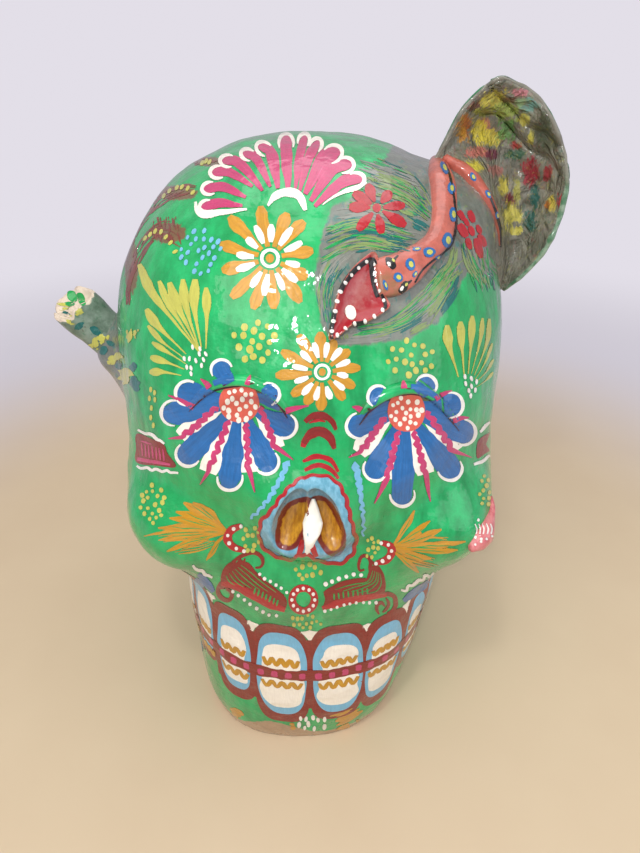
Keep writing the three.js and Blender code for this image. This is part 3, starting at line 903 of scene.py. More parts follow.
def resampled(line, step):
    """The smooth curve through the points, at even steps."""
    if len(line) > 2:
        line = open_curve(line, 8)
    return even_points(line, max(3, int(lengths_along(line)[-1] / step) + 1))


def closed_curve(points, count):
    """Even points on the smooth closed curve through the points."""
    loop = [np.array(p, float) for p in points]
    dense = spline(loop[-1:] + loop + loop[:2], 12)
    return even_points(np.array(dense + dense[:1]), count, endpoint=False)


def polar(angle, radius):
    a = math.radians(angle)
    return np.array((radius * math.cos(a), radius * math.sin(a)))


def scaled_profile(profile, half):
    return [half * p for p in profile]


# ---------------------------------------------------------------- the skin

def stretch_distance(u, v, start, end):
    """Distance to one straight stretch on the painter's plane."""
    (ax, ay), (bx, by) = start, end
    t = np.clip(((u - ax) * (bx - ax) + (v - ay) * (by - ay)) / ((bx - ax) ** 2 + (by - ay) ** 2), 0, 1)
    return np.hypot(u - ax - t * (bx - ax), v - ay - t * (by - ay))


def edge_distance(u, v, corners):
    """Distance to a closed outline on the painter's plane, negative inside it."""
    corners = np.array(corners, float)
    best = np.full(u.shape, 1e9)
    inside = np.zeros(u.shape, bool)
    for (ax, ay), (bx, by) in zip(corners, np.roll(corners, -1, axis=0)):
        best = np.minimum(best, stretch_distance(u, v, (ax, ay), (bx, by)))
        crosses = (ay > v) != (by > v)
        inside ^= crosses & (u < (bx - ax) * (v - ay) / np.where(by == ay, 1e-9, by - ay) + ax)
    return np.where(inside, -best, best)


def smooth_step(value, low, high):
    t = np.clip((value - low) / (high - low), 0, 1)
    return t * t * (3 - 2 * t)


GREY_ZONE = [(23.5, 88), (19.1, 80.9), (15.0, 75.4), (9.5, 70.6), (4.6, 68.4), (1, 60), (-1, 46), (0.5, 33),
             (4, 26), (15, 26), (28, 28), (37, 33), (40, 40), (45, 47), (47.8, 53), (52.5, 54.5),
             (55.5, 51.5), (58, 44), (61, 44), (60, 60), (54, 86), (40, 86)]
RUST_PATCHES = [((-47.5, 60.5), (6, 3.4)), ((-45, 73), (7, 2.4)), ((-35, 82.8), (5, 1.6)),
                ((-59, 50), (2.2, 9))]
BACK_PATCHES = [((-76, 12, 204), 13), ((-60, 30, 226), 15), ((-34, 26, 243), 12), ((79, 8, 176), 13),
                ((66, 60, 204), 14), ((-62, 74, 160), 15), ((30, 92, 222), 15)]


NOSE_OUTLINE = [(-1.9, -15.3), (2.5, -15.8), (5.6, -17.9), (7.8, -22.3), (9.1, -27.1), (10.4, -32),
                (11.1, -35.9), (10, -39.9), (6.9, -42.4), (2.5, -42.5), (-1, -41.6), (-3.8, -40),
                (-6.7, -40.4), (-8.7, -41.4), (-12.3, -41), (-16.3, -38.9), (-18.4, -36.1), (-18.8, -32.5),
                (-18.2, -29.5), (-15.1, -26), (-11.9, -21.6), (-9.1, -18.6), (-5.5, -16.1)]
NOSE_LOBES = [[(-2.9, -22.2), (-7, -22.4), (-10.2, -24.0), (-12.8, -27.9), (-14.1, -34.6), (-13.2, -37.6),
               (-10.7, -38.8), (-7.6, -38.0), (-5.2, -35.0), (-3.6, -31.0), (-2.4, -26.4)],
              [(-2.9, -22.2), (0.5, -21.6), (3.6, -23.7), (6.4, -28.4), (8.2, -33.6), (7.8, -38.0),
               (6.0, -40.2), (3.2, -40.6), (1.2, -38.8), (-0.2, -36.7), (-1.2, -33.6), (-1.8, -28.5),
               (-2.2, -25)]]


def skin_zones(points, normals):
    """Where on the skin the paint is grey, rusty, a flat grey-green (painted shade on the jaw sides), worn to
    bare paper, or down in a socket, and where the brow edge is darkened, partly as painted shade.
    """
    u, v, _ = on_sight_plane(points)
    seen = ((SIGHT - points) * normals).sum(-1) > 0
    grey = smooth_step(edge_distance(u, v, GREY_ZONE), 3.5, -2.5) * seen
    x, y, z = points.T
    hood_foot = np.linalg.norm((points - (66, 2, 226)) / (14, 22, 20), axis=1)
    grey = np.maximum(grey, smooth_step(hood_foot, 1.25, 0.85))
    branch_foot = np.linalg.norm(points - (-78, -13, 168), axis=1)
    grey = np.maximum(grey, smooth_step(branch_foot, 31, 19))
    side = smooth_step(np.abs(x), 66, 80) * smooth_step(z, 150, 176) * (0.55 + 0.3 * noise(points, 26, 5))
    behind = smooth_step(y, 0, 50) * (0.3 + 0.4 * noise(points, 34, 6))
    # painted shade: the jaw sides are made greyer and darker where the light falls off
    jaw_side_shade = smooth_step(np.abs(x), 42, 60) * smooth_step(z, 96, 66) * (0.6 + 0.3 * noise(points, 18, 8))
    dull_paint_and_shade = np.clip(side + behind + jaw_side_shade, 0, 0.9)
    rust = np.zeros(len(points))
    for (pu, pv), (ru, rv) in RUST_PATCHES:
        rust = np.maximum(rust, smooth_step(np.hypot((u - pu) / ru, (v - pv) / rv), 1.3, 0.6) * seen)
    for middle, radius in BACK_PATCHES:
        away = np.linalg.norm((points - middle) * (1, 0.75, 2.2), axis=1)
        rust = np.maximum(rust, smooth_step(away, radius * 1.2, radius * 0.35))
    chin = 8 * np.exp(-((x + 19) / 15) ** 2) * (y < 0)
    bare = smooth_step(z + 2.4 * noise(points, 9, 7), 6.5 + chin, 3 + chin)
    sink = np.clip(-head(points), 0, 20)
    eyes = sockets(points)[0]
    front = (y < -40) * 1.0
    rim = np.clip(6 - edge_distance(u, v, closed_curve(NOSE_OUTLINE, 60)), 0, 12) * front
    lobe = np.clip(6 - np.minimum(*(edge_distance(u, v, closed_curve(line, 40)) for line in NOSE_LOBES)), 0,
                   12) * front
    # lip: a dark red-brown band along the top edge of each eye socket, partly the painted line there and
    # partly painted shade under the brow
    lip = smooth_step(np.abs(eyes), 1.6, 0.2) * smooth_step(z, 176, 183) * smooth_step(sink, 3.0, 1.0)
    return {"grey": grey, "rust": rust, "dull_paint_and_shade": dull_paint_and_shade, "bare": bare,
            "nose_rim": rim, "nose_lobe": lobe, "lip": lip}


def add_zones(mesh, zones):
    for name, values in zones.items():
        attribute = mesh.attributes.new(name, "FLOAT", "POINT")
        attribute.data.foreach_set("value", values.astype(np.float32))


def build_skin():
    xs = graded(-HALF_WIDTH - 10, HALF_WIDTH + 6, -48, 56, 0.95, 1.6)
    ys = graded(FRONT_LOW[1] - 5, BACK + 4, FRONT_LOW[1] - 5, -64, 0.95, 1.6)
    zs = graded(0, TOP + 4, 122, 198, 0.95, 1.5)
    outer, outer_quads = surface_net(skull, xs, ys, zs)
    outer = settle(skull, outer)
    g = gradient(skull, outer)
    g /= np.linalg.norm(g, axis=1)[:, None]
    lumps = 0.55 * noise(outer, 17, 1) + 0.3 * noise(outer, 8, 2) + 0.12 * noise(outer, 4, 3)
    g[outer[:, 2] <= 1e-6, 2] = 0
    outer = outer + g * lumps[:, None]

    def cavity(p):
        eyes, nose = sockets(p)
        return np.maximum(head(p) + WALL + 1.0, WALL + 1.5 - np.minimum(eyes, nose))

    coarse = 4.0
    inner, inner_quads = surface_net(cavity, np.arange(-90, 90, coarse), np.arange(-96, 116, coarse),
                                     np.arange(0, TOP + 6, coarse))
    inner = settle(cavity, inner)
    vertices = np.concatenate([outer, inner])
    quads = np.concatenate([outer_quads, inner_quads[:, ::-1] + len(outer)])
    mesh = bmesh.new()
    made = [mesh.verts.new(v * MM) for v in vertices]
    for q in quads:
        mesh.faces.new([made[i] for i in q])
    rim = [e for e in mesh.edges if e.is_boundary]
    bmesh.ops.triangle_fill(mesh, edges=rim, use_beauty=True, use_dissolve=False)
    bmesh.ops.recalc_face_normals(mesh, faces=mesh.faces)
    data = bpy.data.meshes.new("paper_skin")
    mesh.to_mesh(data)
    mesh.free()
    data.shade_smooth()
    add_zones(data, skin_zones(*mesh_arrays(data)))
    data.materials.append(skin_material())
    skin = bpy.data.objects.new("paper_skin", data)
    bpy.context.scene.collection.objects.link(skin)
    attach(skin, "root")
    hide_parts("front_shell", "back_shell", "eye_cup_left", "eye_cup_right", "nose_cup")
    return skin


skin = build_skin()
skin_surface = Surface(skin)
bare_sight = FromSight(skin_surface)


# ---------------------------------------------------------------- shapes raised above the skin

def tube_grid(name, rings, material):
    """A closed body through rings of points; each end is closed by a point at its middle."""
    n, m = rings.shape[:2]
    points = [rings.reshape(-1, 3)]
    faces = [(i * m + j, i * m + (j + 1) % m, (i + 1) * m + (j + 1) % m, (i + 1) * m + j)
             for i in range(n - 1) for j in range(m)]
    first, last = n * m, n * m + 1
    points.append(rings[0].mean(0)[None])
    points.append(rings[-1].mean(0)[None])
    faces += [(first, (j + 1) % m, j) for j in range(m)]
    faces += [(last, (n - 1) * m + j, (n - 1) * m + (j + 1) % m) for j in range(m)]
    points = np.concatenate(points)
    made = object_from(name, points, faces, material)
    outward(made)
    return made


def outward(made):
    """Turns every face of a closed body to face out."""
    mesh = bmesh.new()
    mesh.from_mesh(made.data)
    bmesh.ops.recalc_face_normals(mesh, faces=mesh.faces)
    mesh.to_mesh(made.data)
    mesh.free()


def relief(name, chart, line, widths, heights, material, steep=0.5, soft=1.3):
    """A raised ridge laid along a line of the painter's plane, its widths given on that plane."""
    line = resampled(np.array(line, float), 1.1)
    hits = [hit for hit in (chart.put(u, v) for u, v in line) if hit is not None]
    places = np.array([hit[0] for hit in hits])
    larger = 1 / on_sight_plane(places)[2]
    t = np.linspace(0, 1, len(places))
    w = np.interp(t, np.linspace(0, 1, len(widths)), widths) * larger
    return raised(name, places, np.array([hit[1] for hit in hits]), w, heights, material, steep, soft)


def raised(name, places, normals, widths, heights, material, steep=0.5, soft=1.3, sink=1.6):
    """A raised ridge on the skin; its right side is steep and its left side runs out softly."""
    for _ in range(6):
        normals[1:-1] = (normals[:-2] + normals[1:-1] + normals[2:]) / 3
        places[1:-1] = (places[:-2] + 2 * places[1:-1] + places[2:]) / 4
    normals /= np.linalg.norm(normals, axis=1)[:, None]
    t = np.linspace(0, 1, len(places))
    w = np.interp(t, np.linspace(0, 1, len(widths)), widths)
    h = np.interp(t, np.linspace(0, 1, len(heights)), heights)
    ahead = np.gradient(places, axis=0)
    side = np.cross(ahead, normals)
    side /= np.linalg.norm(side, axis=1)[:, None]
    angles = np.linspace(math.pi, 0, 17)
    x = np.cos(angles)
    z = np.sin(angles)
    z = np.where(x > 0, z ** steep, z ** soft)
    x = np.where(x > 0, x * (1 - 0.06 * (1 - z)), x)
    x = np.concatenate([[-1.0], x, [0.94], [0.4], [-0.4]])
    z = np.concatenate([[-1.0], z, [-1.0], [-1.0], [-1.0]])
    rise = np.where(z[None, :] > 0, h[:, None] * z[None, :], sink * z[None, :])
    rise = rise + 0.25 * noise(places, 6, 21)[:, None] * (z[None, :] > 0.2)
    rings = places[:, None] + side[:, None] * (w[:, None] * x[None, :])[..., None] + normals[:,
            None] * rise[..., None]
    return tube_grid(name, rings, material)


HEAD_LINE = [(17.2, 46.0), (20.3, 46.2), (24.7, 47.8), (29.0, 51.2), (33.8, 55), (37.2, 59.4), (38.3, 66),
             (38.3, 73.7), (37.0, 79.6), (36.8, 82.8), (38.4, 85.4)]
BODY_LINE = [(39.0, 84.0), (41.8, 81.4), (45.4, 79.0), (49.5, 74.2), (53.4, 68.0), (55.4, 62.4), (56.1, 56.6)]


def snake(root):
    coral = skin_of_snake()
    upper = relief("snake_upper", bare_sight, HEAD_LINE, [6.6, 6.8, 5.9, 4.5, 3.8, 4.0, 4.1, 4.2, 4.1, 2.6],
                   [3.4, 4.2, 4.6, 4.2, 3.6, 3.4, 3.4, 3.5, 3.4, 2.4], coral, steep=0.4, soft=1.1)
    lower = relief("snake_lower", root, BODY_LINE, [1.2, 2.2, 2.8, 2.7, 2.1, 1.2, 0.3],
                   [2.0, 3.2, 3.4, 3.0, 2.4, 1.6, 0.4], coral, steep=0.5, soft=1.0)
    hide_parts("snake_head", "snake_neck")
    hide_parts("snake_body")
    return upper, lower


MOUTH_OUTLINE = [(3.0, 27.6), (3.6, 33.0), (5.4, 41.2), (8.8, 47.2), (13.8, 52.0), (17.2, 53.2),
                 (18.2, 46.5), (19.0, 42.0), (20.8, 37.6), (18.2, 34.8), (14.1, 32.4), (9.3, 31.2),
                 (5.8, 28.4)]
MOUTH_MIDDLE = (11.8, 40.5)


def beside_head(point):
    """1 where the rim of the mouth goes under the snake's head."""
    return float(smooth_step(point[0], 14.5, 17.5) * smooth_step(point[1], 36.5, 40))


def mouth():
    """The open mouth: a leaf-shaped dish with a rolled rim."""
    outline = closed_curve(MOUTH_OUTLINE, 90)
    middle = np.array(MOUTH_MIDDLE)
    spans = np.array([0.02, 0.15, 0.3, 0.45, 0.6, 0.72, 0.82, 0.9, 0.94, 0.975, 1.01, 1.04, 1.06])
    rises = np.array([0.9, 0.95, 1.05, 1.3, 1.8, 2.4, 3.0, 3.6, 3.9, 3.9, 3.2, 1.4, -1.5])
    rings = []
    for span, rise in zip(spans, rises):
        ring = []
        for point in outline:
            spot = middle + (point - middle) * span
            place, normal = bare_sight.put(*spot)
            ring.append(place + normal * (rise - 0.62 * max(rise - 1.2, 0) * beside_head(point)))
        rings.append(ring)
    rings = np.array(rings)
    rings[:, :] += 0.15 * noise(rings, 5, 31)[..., None]
    made = tube_grid("snake_mouth_leaf", rings, mouth_material())
    under = np.array([beside_head(point) for point in outline])
    dish = spans[:, None] + 0.16 * under[None, :] * (spans[:, None] > 0.8)
    add_zones(made.data, {"dish": np.concatenate([dish.ravel(), [0.0, 1.2]])})
    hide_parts("snake_mouth", "snake_tongue")
    return made


TAIL_LINE = np.array([(58, -82, 122), (63, -78, 123.5), (67, -73.5, 125.5), (70.5, -68.5, 128.5),
                      (73, -64, 131.5)], float)


def tail():
    """The end of the tail: a thick curl of paper on the right cheek."""
    hits = [skin_surface.nearest(point) for point in frames_along(TAIL_LINE, 1.0)[0]]
    made = raised("snake_tail_leaf", np.array([hit[0] for hit in hits]), np.array([hit[1] for hit in hits]),
                  [1.2, 4.2, 5.0, 3.6, 1.6, 0.9, 0.4], [2.2, 4.0, 4.4, 3.2, 2.2, 1.6, 0.6], tail_material(),
                  steep=0.6, soft=0.7)
    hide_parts("snake_tail")
    return made


# ---------------------------------------------------------------- branch

BRANCH_LINE = np.array([(-56, -14, 148), (-66, -14, 158), (-76, -14, 167.5), (-84, -13.5, 176),
                        (-91, -13, 184), (-96.5, -13, 190.5)], float)
BRANCH_END = 9.3


def frames_along(line, step):
    """Even points on a smooth space curve, with two directions across it."""
    dense = open_curve(line, 10)
    points = even_points(dense, max(4, int(lengths_along(dense)[-1] / step) + 1))
    ahead = np.gradient(points, axis=0)
    ahead /= np.linalg.norm(ahead, axis=1)[:, None]
    first = np.cross(ahead, np.array((0.0, 1.0, 0.0)))
    first /= np.linalg.norm(first, axis=1)[:, None]
    return points, ahead, first, np.cross(ahead, first)


def all_round(first, second, count):
    """Directions out from each point of a line, count of them in a ring."""
    angle = np.linspace(0, 2 * math.pi, count, endpoint=False)
    return first[:, None] * np.cos(angle)[None, :, None] + second[:, None] * np.sin(angle)[None, :, None]


def branch():
    """The broken branch, its torn end cut towards the painter and hollowed where the roll of paper shows."""
    points, ahead, first, second = frames_along(BRANCH_LINE, 0.9)
    count = 60
    out = all_round(first, second, count)
    t = np.linspace(0, 1, len(points))
    radius = BRANCH_END + 2.4 * (1 - t) ** 1.6 - 1.2 * np.sin(math.pi * t) ** 2
    rings = points[:, None] + out * radius[:, None, None]
    rings = rings + out * (0.5 * noise(rings, 9, 41) + 0.22 * noise(rings, 3.5, 42))[..., None]
    torn = 2.2 * noise(rings[-1], 6.0, 43) + 1.3 * noise(rings[-1], 2.0, 44)
    facing = (out[-1] * (SIGHT - rings[-1])).sum(-1) / np.linalg.norm(SIGHT - rings[-1], axis=-1)
    torn = torn - 3.4 * facing
    tail_t = smooth_step(t, 0.8, 1.0)
    rings = rings + ahead[:, None] * (tail_t[:, None] * torn[None, :])[..., None]
    edge = rings[-1]
    lips = []
    for span, back in ((0.93, -0.7), (0.84, 0.1), (0.76, 1.6), (0.62, 2.6), (0.45, 1.4), (0.3, 0.2),
                       (0.12, -0.4)):
        ring = points[-1] + (edge - points[-1]) * span - ahead[-1] * back
        ring = ring + ahead[-1] * (0.8 * noise(ring, 3.0, 45))[:, None]
        lips.append(ring)
    skin_zone = np.repeat(smooth_step(t, 0.98, 1.0) * 0.9, count)
    zone = np.concatenate([skin_zone, np.ones(len(lips) * count), [0.0, 1.0]])
    made = tube_grid("torn_branch", np.concatenate([rings, np.array(lips)]), branch_material())
    add_zones(made.data, {"torn": zone})
    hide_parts("branch_skin", "branch_core", "branch_wire")
    return made


# ---------------------------------------------------------------- hood

ROOT_LINE = np.array([(48, -5, 242), (57, -13, 237), (67, -15, 225), (74, -9, 210), (81, 3, 192)], float)
RIM_LINE = np.array([(47, -4, 243), (50, -5, 249), (56, -6, 261), (66, -6, 269.5), (73, -6, 268.5),
                     (81, -6, 264.5), (87, -6.5, 258), (91.5, -7, 251), (95.5, -8, 242), (97, -9, 233),
                     (96.5, -8, 222), (94, -6, 210), (89, -2, 200), (83.5, 3, 192)], float)
FLAP = [(54.8, 106.3), (59.6, 102), (63.4, 97.7), (66.3, 95.3), (72, 92.9), (75.4, 89.1)]
CREASE = [(51, 99.1), (55.8, 99.1), (61.5, 92.9), (66.3, 87.6), (73.5, 83.8), (75.9, 79.5)]


def curve_at(line, t):
    """Points at even fractions t along a smooth space curve."""
    points = frames_along(line, 0.5)[0]
    place = np.asarray(t) * (len(points) - 1)
    return np.stack([np.interp(place, np.arange(len(points)), points[:, k]) for k in range(3)], -1)


def line_distance(u, v, line):
    """Distance to an open line on the painter's plane, positive on its left."""
    best, sign = np.full(u.shape, 1e9), np.ones(u.shape)
    for (ax, ay), (bx, by) in zip(line, line[1:]):
        away = stretch_distance(u, v, (ax, ay), (bx, by))
        turn = np.sign((bx - ax) * (v - ay) - (by - ay) * (u - ax))
        sign = np.where(away < best, turn, sign)
        best = np.minimum(best, away)
    return best * sign


def hood():
    along, across = 110, 64
    t = np.linspace(0, 1, along)
    s = np.linspace(-0.06, 1, across)
    root, rim = curve_at(ROOT_LINE, t), curve_at(RIM_LINE, t)
    sheet = root[:, None] + (rim - root)[:, None] * s[None, :, None]
    belly = np.sin(math.pi * np.clip(s, 0, 1))[None, :] * np.sin(math.pi * t)[:, None]
    sheet[..., 1] += 20 * belly
    u, v, _ = on_sight_plane(sheet)
    toward = SIGHT - sheet
    toward /= np.linalg.norm(toward, axis=-1)[..., None]
    free = smooth_step(s, 0.02, 0.3)[None, :]
    push = 1.2 * noise(sheet, 13, 51) + 0.5 * noise(sheet, 6, 52)
    push += 3.0 * (0.3 - np.abs(noise(sheet, 19, 57))) + 1.3 * (0.3 - np.abs(noise(sheet, 9, 58)))
    flap = line_distance(u, v, FLAP)
    push += 2.6 * smooth_step(flap, -0.7, 0.7) * smooth_step(flap, 12, 4)
    push -= 1.2 * np.exp(-((flap + 1.2) / 1.3) ** 2)
    crease = line_distance(u, v, CREASE)
    push += 1.5 * np.exp(-((crease - 1.4) / 1.6) ** 2) - 1.7 * np.exp(-((crease + 0.8) / 1.0) ** 2)
    sheet = sheet + toward * (push * free)[..., None]
    fine = 0.9 * (0.3 - np.abs(noise(sheet, 7.5, 59))) + 0.5 * (0.3 - np.abs(noise(sheet, 4.2, 60)))
    sheet = sheet + toward * (fine * free)[..., None]
    normal = np.cross(np.gradient(sheet, axis=0), np.gradient(sheet, axis=1))
    normal /= np.linalg.norm(normal, axis=-1)[..., None] + 1e-9
    normal *= np.sign((normal * toward).sum(-1).mean())
    thick = 2.2 + 0.3 * noise(sheet, 9, 53)
    front = sheet + normal * (0.5 * thick + 0.12 * noise(sheet, 2.5, 54))[..., None]
    back = sheet - normal * (0.5 * thick)[..., None]
    rings = np.concatenate([front, back[:, ::-1]], axis=1)
    made = tube_grid("hood_sheet", rings, hood_material())
    zone = np.concatenate([np.tile(np.concatenate([np.zeros(across), np.ones(across)]), along), [0.5, 0.5]])
    add_zones(made.data, {"outside": zone})
    across_view, up_view, _ = on_sight_plane(mesh_arrays(made.data)[0])
    seen_at = made.data.attributes.new("seen_at", "FLOAT_VECTOR", "POINT")
    seen_at.data.foreach_set("vector", np.stack([across_view, up_view, 0 * up_view],
                                                -1).astype(np.float32).ravel())
    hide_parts("hood_leaf", "hood_wire")
    points, ahead, first, second = frames_along(sheet[:, -1], 0.9)
    out = all_round(first, second, 14)
    e = np.linspace(0, 1, len(points))
    radius = 0.7 + 0.3 * smooth_step(e, 0.45, 0.7) + 0.3 * noise(points, 7, 55)
    ring = points[:, None] + out * radius[:, None, None]
    ring = ring + out * (0.25 * noise(ring, 3, 56))[..., None]
    roll = tube_grid("hood_roll", ring, rim_material())
    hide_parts("hood_rim")
    return made, roll


LID_LINES = [[(-40.6, 5.4), (-36.6, 9.4), (-33.5, 11.8), (-30.4, 12.9), (-26.2, 13.6), (-22.1, 13.3),
              (-18.5, 11.9), (-14.8, 9.4), (-12.2, 6.8), (-10.2, 3.4)],
             [(12.0, 1.4), (14.8, 5.1), (17.4, 7.3), (20.1, 9.2), (23.6, 10.7), (27.1, 11.3), (30.6, 10.9),
              (33.2, 9.6), (35.8, 7.9), (38.5, 5.1), (41.3, 1.8), (43.2, -0.6)]]


def lid(name, line):
    """The fold of pasted paper that hangs over the top of an eye socket."""
    raised_line = [(u, v + 1.2) for u, v in line]
    made = relief(name, bare_sight, raised_line, [0.5, 1.5, 1.8, 1.9, 1.8, 1.5, 0.5],
                  [0.2, 1.6, 2.4, 2.6, 2.4, 1.6, 0.2], skin.data.materials[0], steep=0.3, soft=1.6)
    return made


lids = [lid("lid_left", LID_LINES[0]), lid("lid_right", LID_LINES[1])]
hood_sheet, hood_roll = hood()
snake_upper, snake_lower = snake(FromSight(Surface(skin, hood_sheet)))
mouth_leaf = mouth()
tail_leaf = tail()
torn_branch = branch()
everything = Surface(skin, *lids, snake_upper, snake_lower, mouth_leaf, tail_leaf, torn_branch, hood_sheet,
                     hood_roll)
sight = FromSight(everything)


# ---------------------------------------------------------------- motifs

def dots(layer, chart, centre, radii, count, size, long=1.15, turn=0.0):
    """A loose cluster of dots, none closer than the cluster allows."""
    placed = []
    room = 1.45 * math.sqrt(radii[0] * radii[1] / count)
    for _ in range(count * 40):
        a, r = rng.uniform(0, 2 * math.pi), math.sqrt(rng.uniform())
        spot = np.array((centre[0] + radii[0] * r * math.cos(a), centre[1] + radii[1] * r * math.sin(a)))
        if all(np.linalg.norm(spot - other) > room for other in placed):
            placed.append(spot)
            big = size * rng.uniform(0.8, 1.15)
            layer.blob(chart, spot, big, big * long * rng.uniform(0.9, 1.15),
                       turn=turn + rng.uniform(-15, 15), dome=0.18)
        if len(placed) == count:
            break


def dotted(layer, chart, line, count, size):
    """A row of dots along a line."""
    spots = resampled(np.array(line, float), 0.1)
    for i in range(count):
        spot = spots[int(i * (len(spots) - 1) / (count - 1))]
        big = size * rng.uniform(0.88, 1.12)
        layer.blob(chart, spot + rng.uniform(-0.12, 0.12, 2), big, big * 1.1, turn=rng.uniform(-30, 30),
                   dome=0.2)


def wave(start, end, swings, swing, bend=0.0, fade=1.0):
    """A zigzag from start to end; bend bows it sideways, and fade is the share of it that swings."""
    start, end = np.array(start, float), np.array(end, float)
    way = end - start
    side = np.array((-way[1], way[0])) / np.linalg.norm(way)
    line = []
    for i in range(2 * swings + 1):
        t = i / (2 * swings)
        size = swing if t < fade else 0.0
        line.append(start + way * t + side * (bend * math.sin(math.pi * t) + size * (-1) ** i))
    return line


def dry_strokes(layer, chart, line, spread, hairs, half=0.28):
    """A stroke from a nearly dry brush: loose hairs side by side that start and stop at different places."""
    line = np.array(line, float)
    way = line[-1] - line[0]
    side = np.array((-way[1], way[0])) / np.linalg.norm(way)
    for i in range(hairs):
        offset = spread * (2 * (i + rng.uniform(0.2, 0.8)) / hairs - 1)
        smooth = resampled(line, 0.5) + side * offset
        first, last = rng.uniform(0, 0.25), rng.uniform(0.75, 1)
        part = smooth[int(first * len(smooth)):int(last * len(smooth))]
        if len(part) > 4:
            layer.ribbon(chart, part[::3], scaled_profile([0.3, 1, 1, 0.8, 0.3],
                                                          half * rng.uniform(0.7, 1.5)), wobble=0.2)


def finish_all(*layers):
    for layer in layers:
        layer.finish()


def daisy(name, chart, gold, white, petal, ring):
    outer, inner = Layer(name + "_gold", "ochre", 0.12), Layer(name + "_white", "white", 0.17)
    for angle, reach in gold:
        outer.ribbon(chart, [polar(angle, reach), polar(angle + 1, reach * 0.62), polar(angle, ring + 1.1)],
                     scaled_profile([0.4, 0.95, 1, 0.85, 0.6, 0.45, 0.35], petal))
    for angle, reach in white:
        inner.ribbon(chart, [polar(angle, reach), polar(angle, ring + 2.4)],
                     scaled_profile([0.5, 1, 0.95, 0.75, 0.5], petal * 0.6))
    inner.ring(chart, (0, 0), ring, ring * 0.2)
    outer.blob(chart, (0, 0), ring * 0.5, ring * 0.55)
    finish_all(outer, inner)


def disc_under(layer, chart, half_u, half_v, lid_line):
    """A round patch whose top is cut off by the fold over the eye."""
    s = -np.cos(np.linspace(0, math.pi, 21))
    arc = half_v * np.sqrt(np.maximum(1 - np.abs(s) ** 2.3, 0)) + 0.02
    edge = np.interp(chart.u + s * half_u, *np.array(lid_line).T) - chart.v - 0.2
    high = np.maximum(np.minimum(arc, edge), -arc + 0.04)
    spans = np.linspace(0, 1, 17)
    v = -arc[None, :] + (high + arc)[None, :] * spans[:, None]
    u = np.broadcast_to(s * half_u, v.shape)
    marks = np.stack([v, u, np.zeros(v.shape)], -1)
    layer.lay(chart, np.stack([u, v], -1)[::-1], np.zeros(v.shape), marks)


def eye_flower(name, chart, petals, inner_rays, outer_rays, disc, lid_line):
    """petals run from the inner brow round the bowl; inner_rays are (start, bend, tip) with waves."""
    bowl = bare_sight.at(chart.u, chart.v)
    wedges, blue = Layer(name + "_wedges", "cream", 0.1), Layer(name + "_petals", "blue", 0.2)
    tips, magenta = Layer(name + "_tips", "white", 0.26), Layer(name + "_rays", "magenta", 0.28)
    for start, bend, tip in inner_rays:
        start, bend = np.array(start, float), np.array(bend, float)
        wedges.ribbon(chart, [start * 0.75, (start + bend) / 2, bend * 1.04], [1.1, 1.8, 2.4, 3.0, 3.1, 2.6])
    for u, v in petals:
        tip = np.array((u, v), float)
        reach = np.linalg.norm(tip)
        way = tip / reach
        broad = 3.6 if reach > 17 else 3.0
        blue.ribbon(chart, [tip, tip * 0.55, way * 4.2],
                    scaled_profile([0.5, 0.92, 1, 0.97, 0.84, 0.69, 0.55, 0.44, 0.36], broad), wobble=0.08)
        side = np.array((-way[1], way[0]))
        arc = [tip - way * broad + (side * math.sin(a) + way * math.cos(a)) * (broad + 0.35)
               for a in np.linspace(-1.7, 1.7, 9) + rng.uniform(-0.25, 0.25)]
        tips.ribbon(chart, arc, [0.25, 0.42, 0.5, 0.55, 0.5, 0.4, 0.2], step=0.6)
    for side in (-1, 1):
        blue.ribbon(bowl, [(side * 13, -1.6), (side * 9, 0.7), (side * 4.6, 2.0)], [1.0, 1.8, 1.6, 1.2])
    for start, bend, tip in inner_rays:
        start, bend, tip = (np.array(p, float) for p in (start, bend, tip))
        line = wave(start, bend, 5, 0.75)
        magenta.ribbon(chart, line + [bend * 0.45 + tip * 0.55, tip],
                       [0.75, 0.85, 0.85, 0.85, 0.9, 0.9, 0.95, 0.8, 0.45, 0.12])
    for tip, root in outer_rays:
        magenta.ribbon(chart, [tip, (np.array(tip) + np.array(root)) / 2 + (0, 0.3), root],
                       [0.15, 0.55, 0.8, 0.9])
    coral, cream = Layer(name + "_disc", "coral", 0.34), Layer(name + "_dots", "cream", 0.38)
    disc_under(coral, bowl, disc[0], disc[1], lid_line)
    dots(cream, bowl, (0, -0.6), (disc[0] - 0.9, disc[1] - 1.1), 20, 0.72)
    finish_all(wedges, blue, tips, magenta, coral, cream)


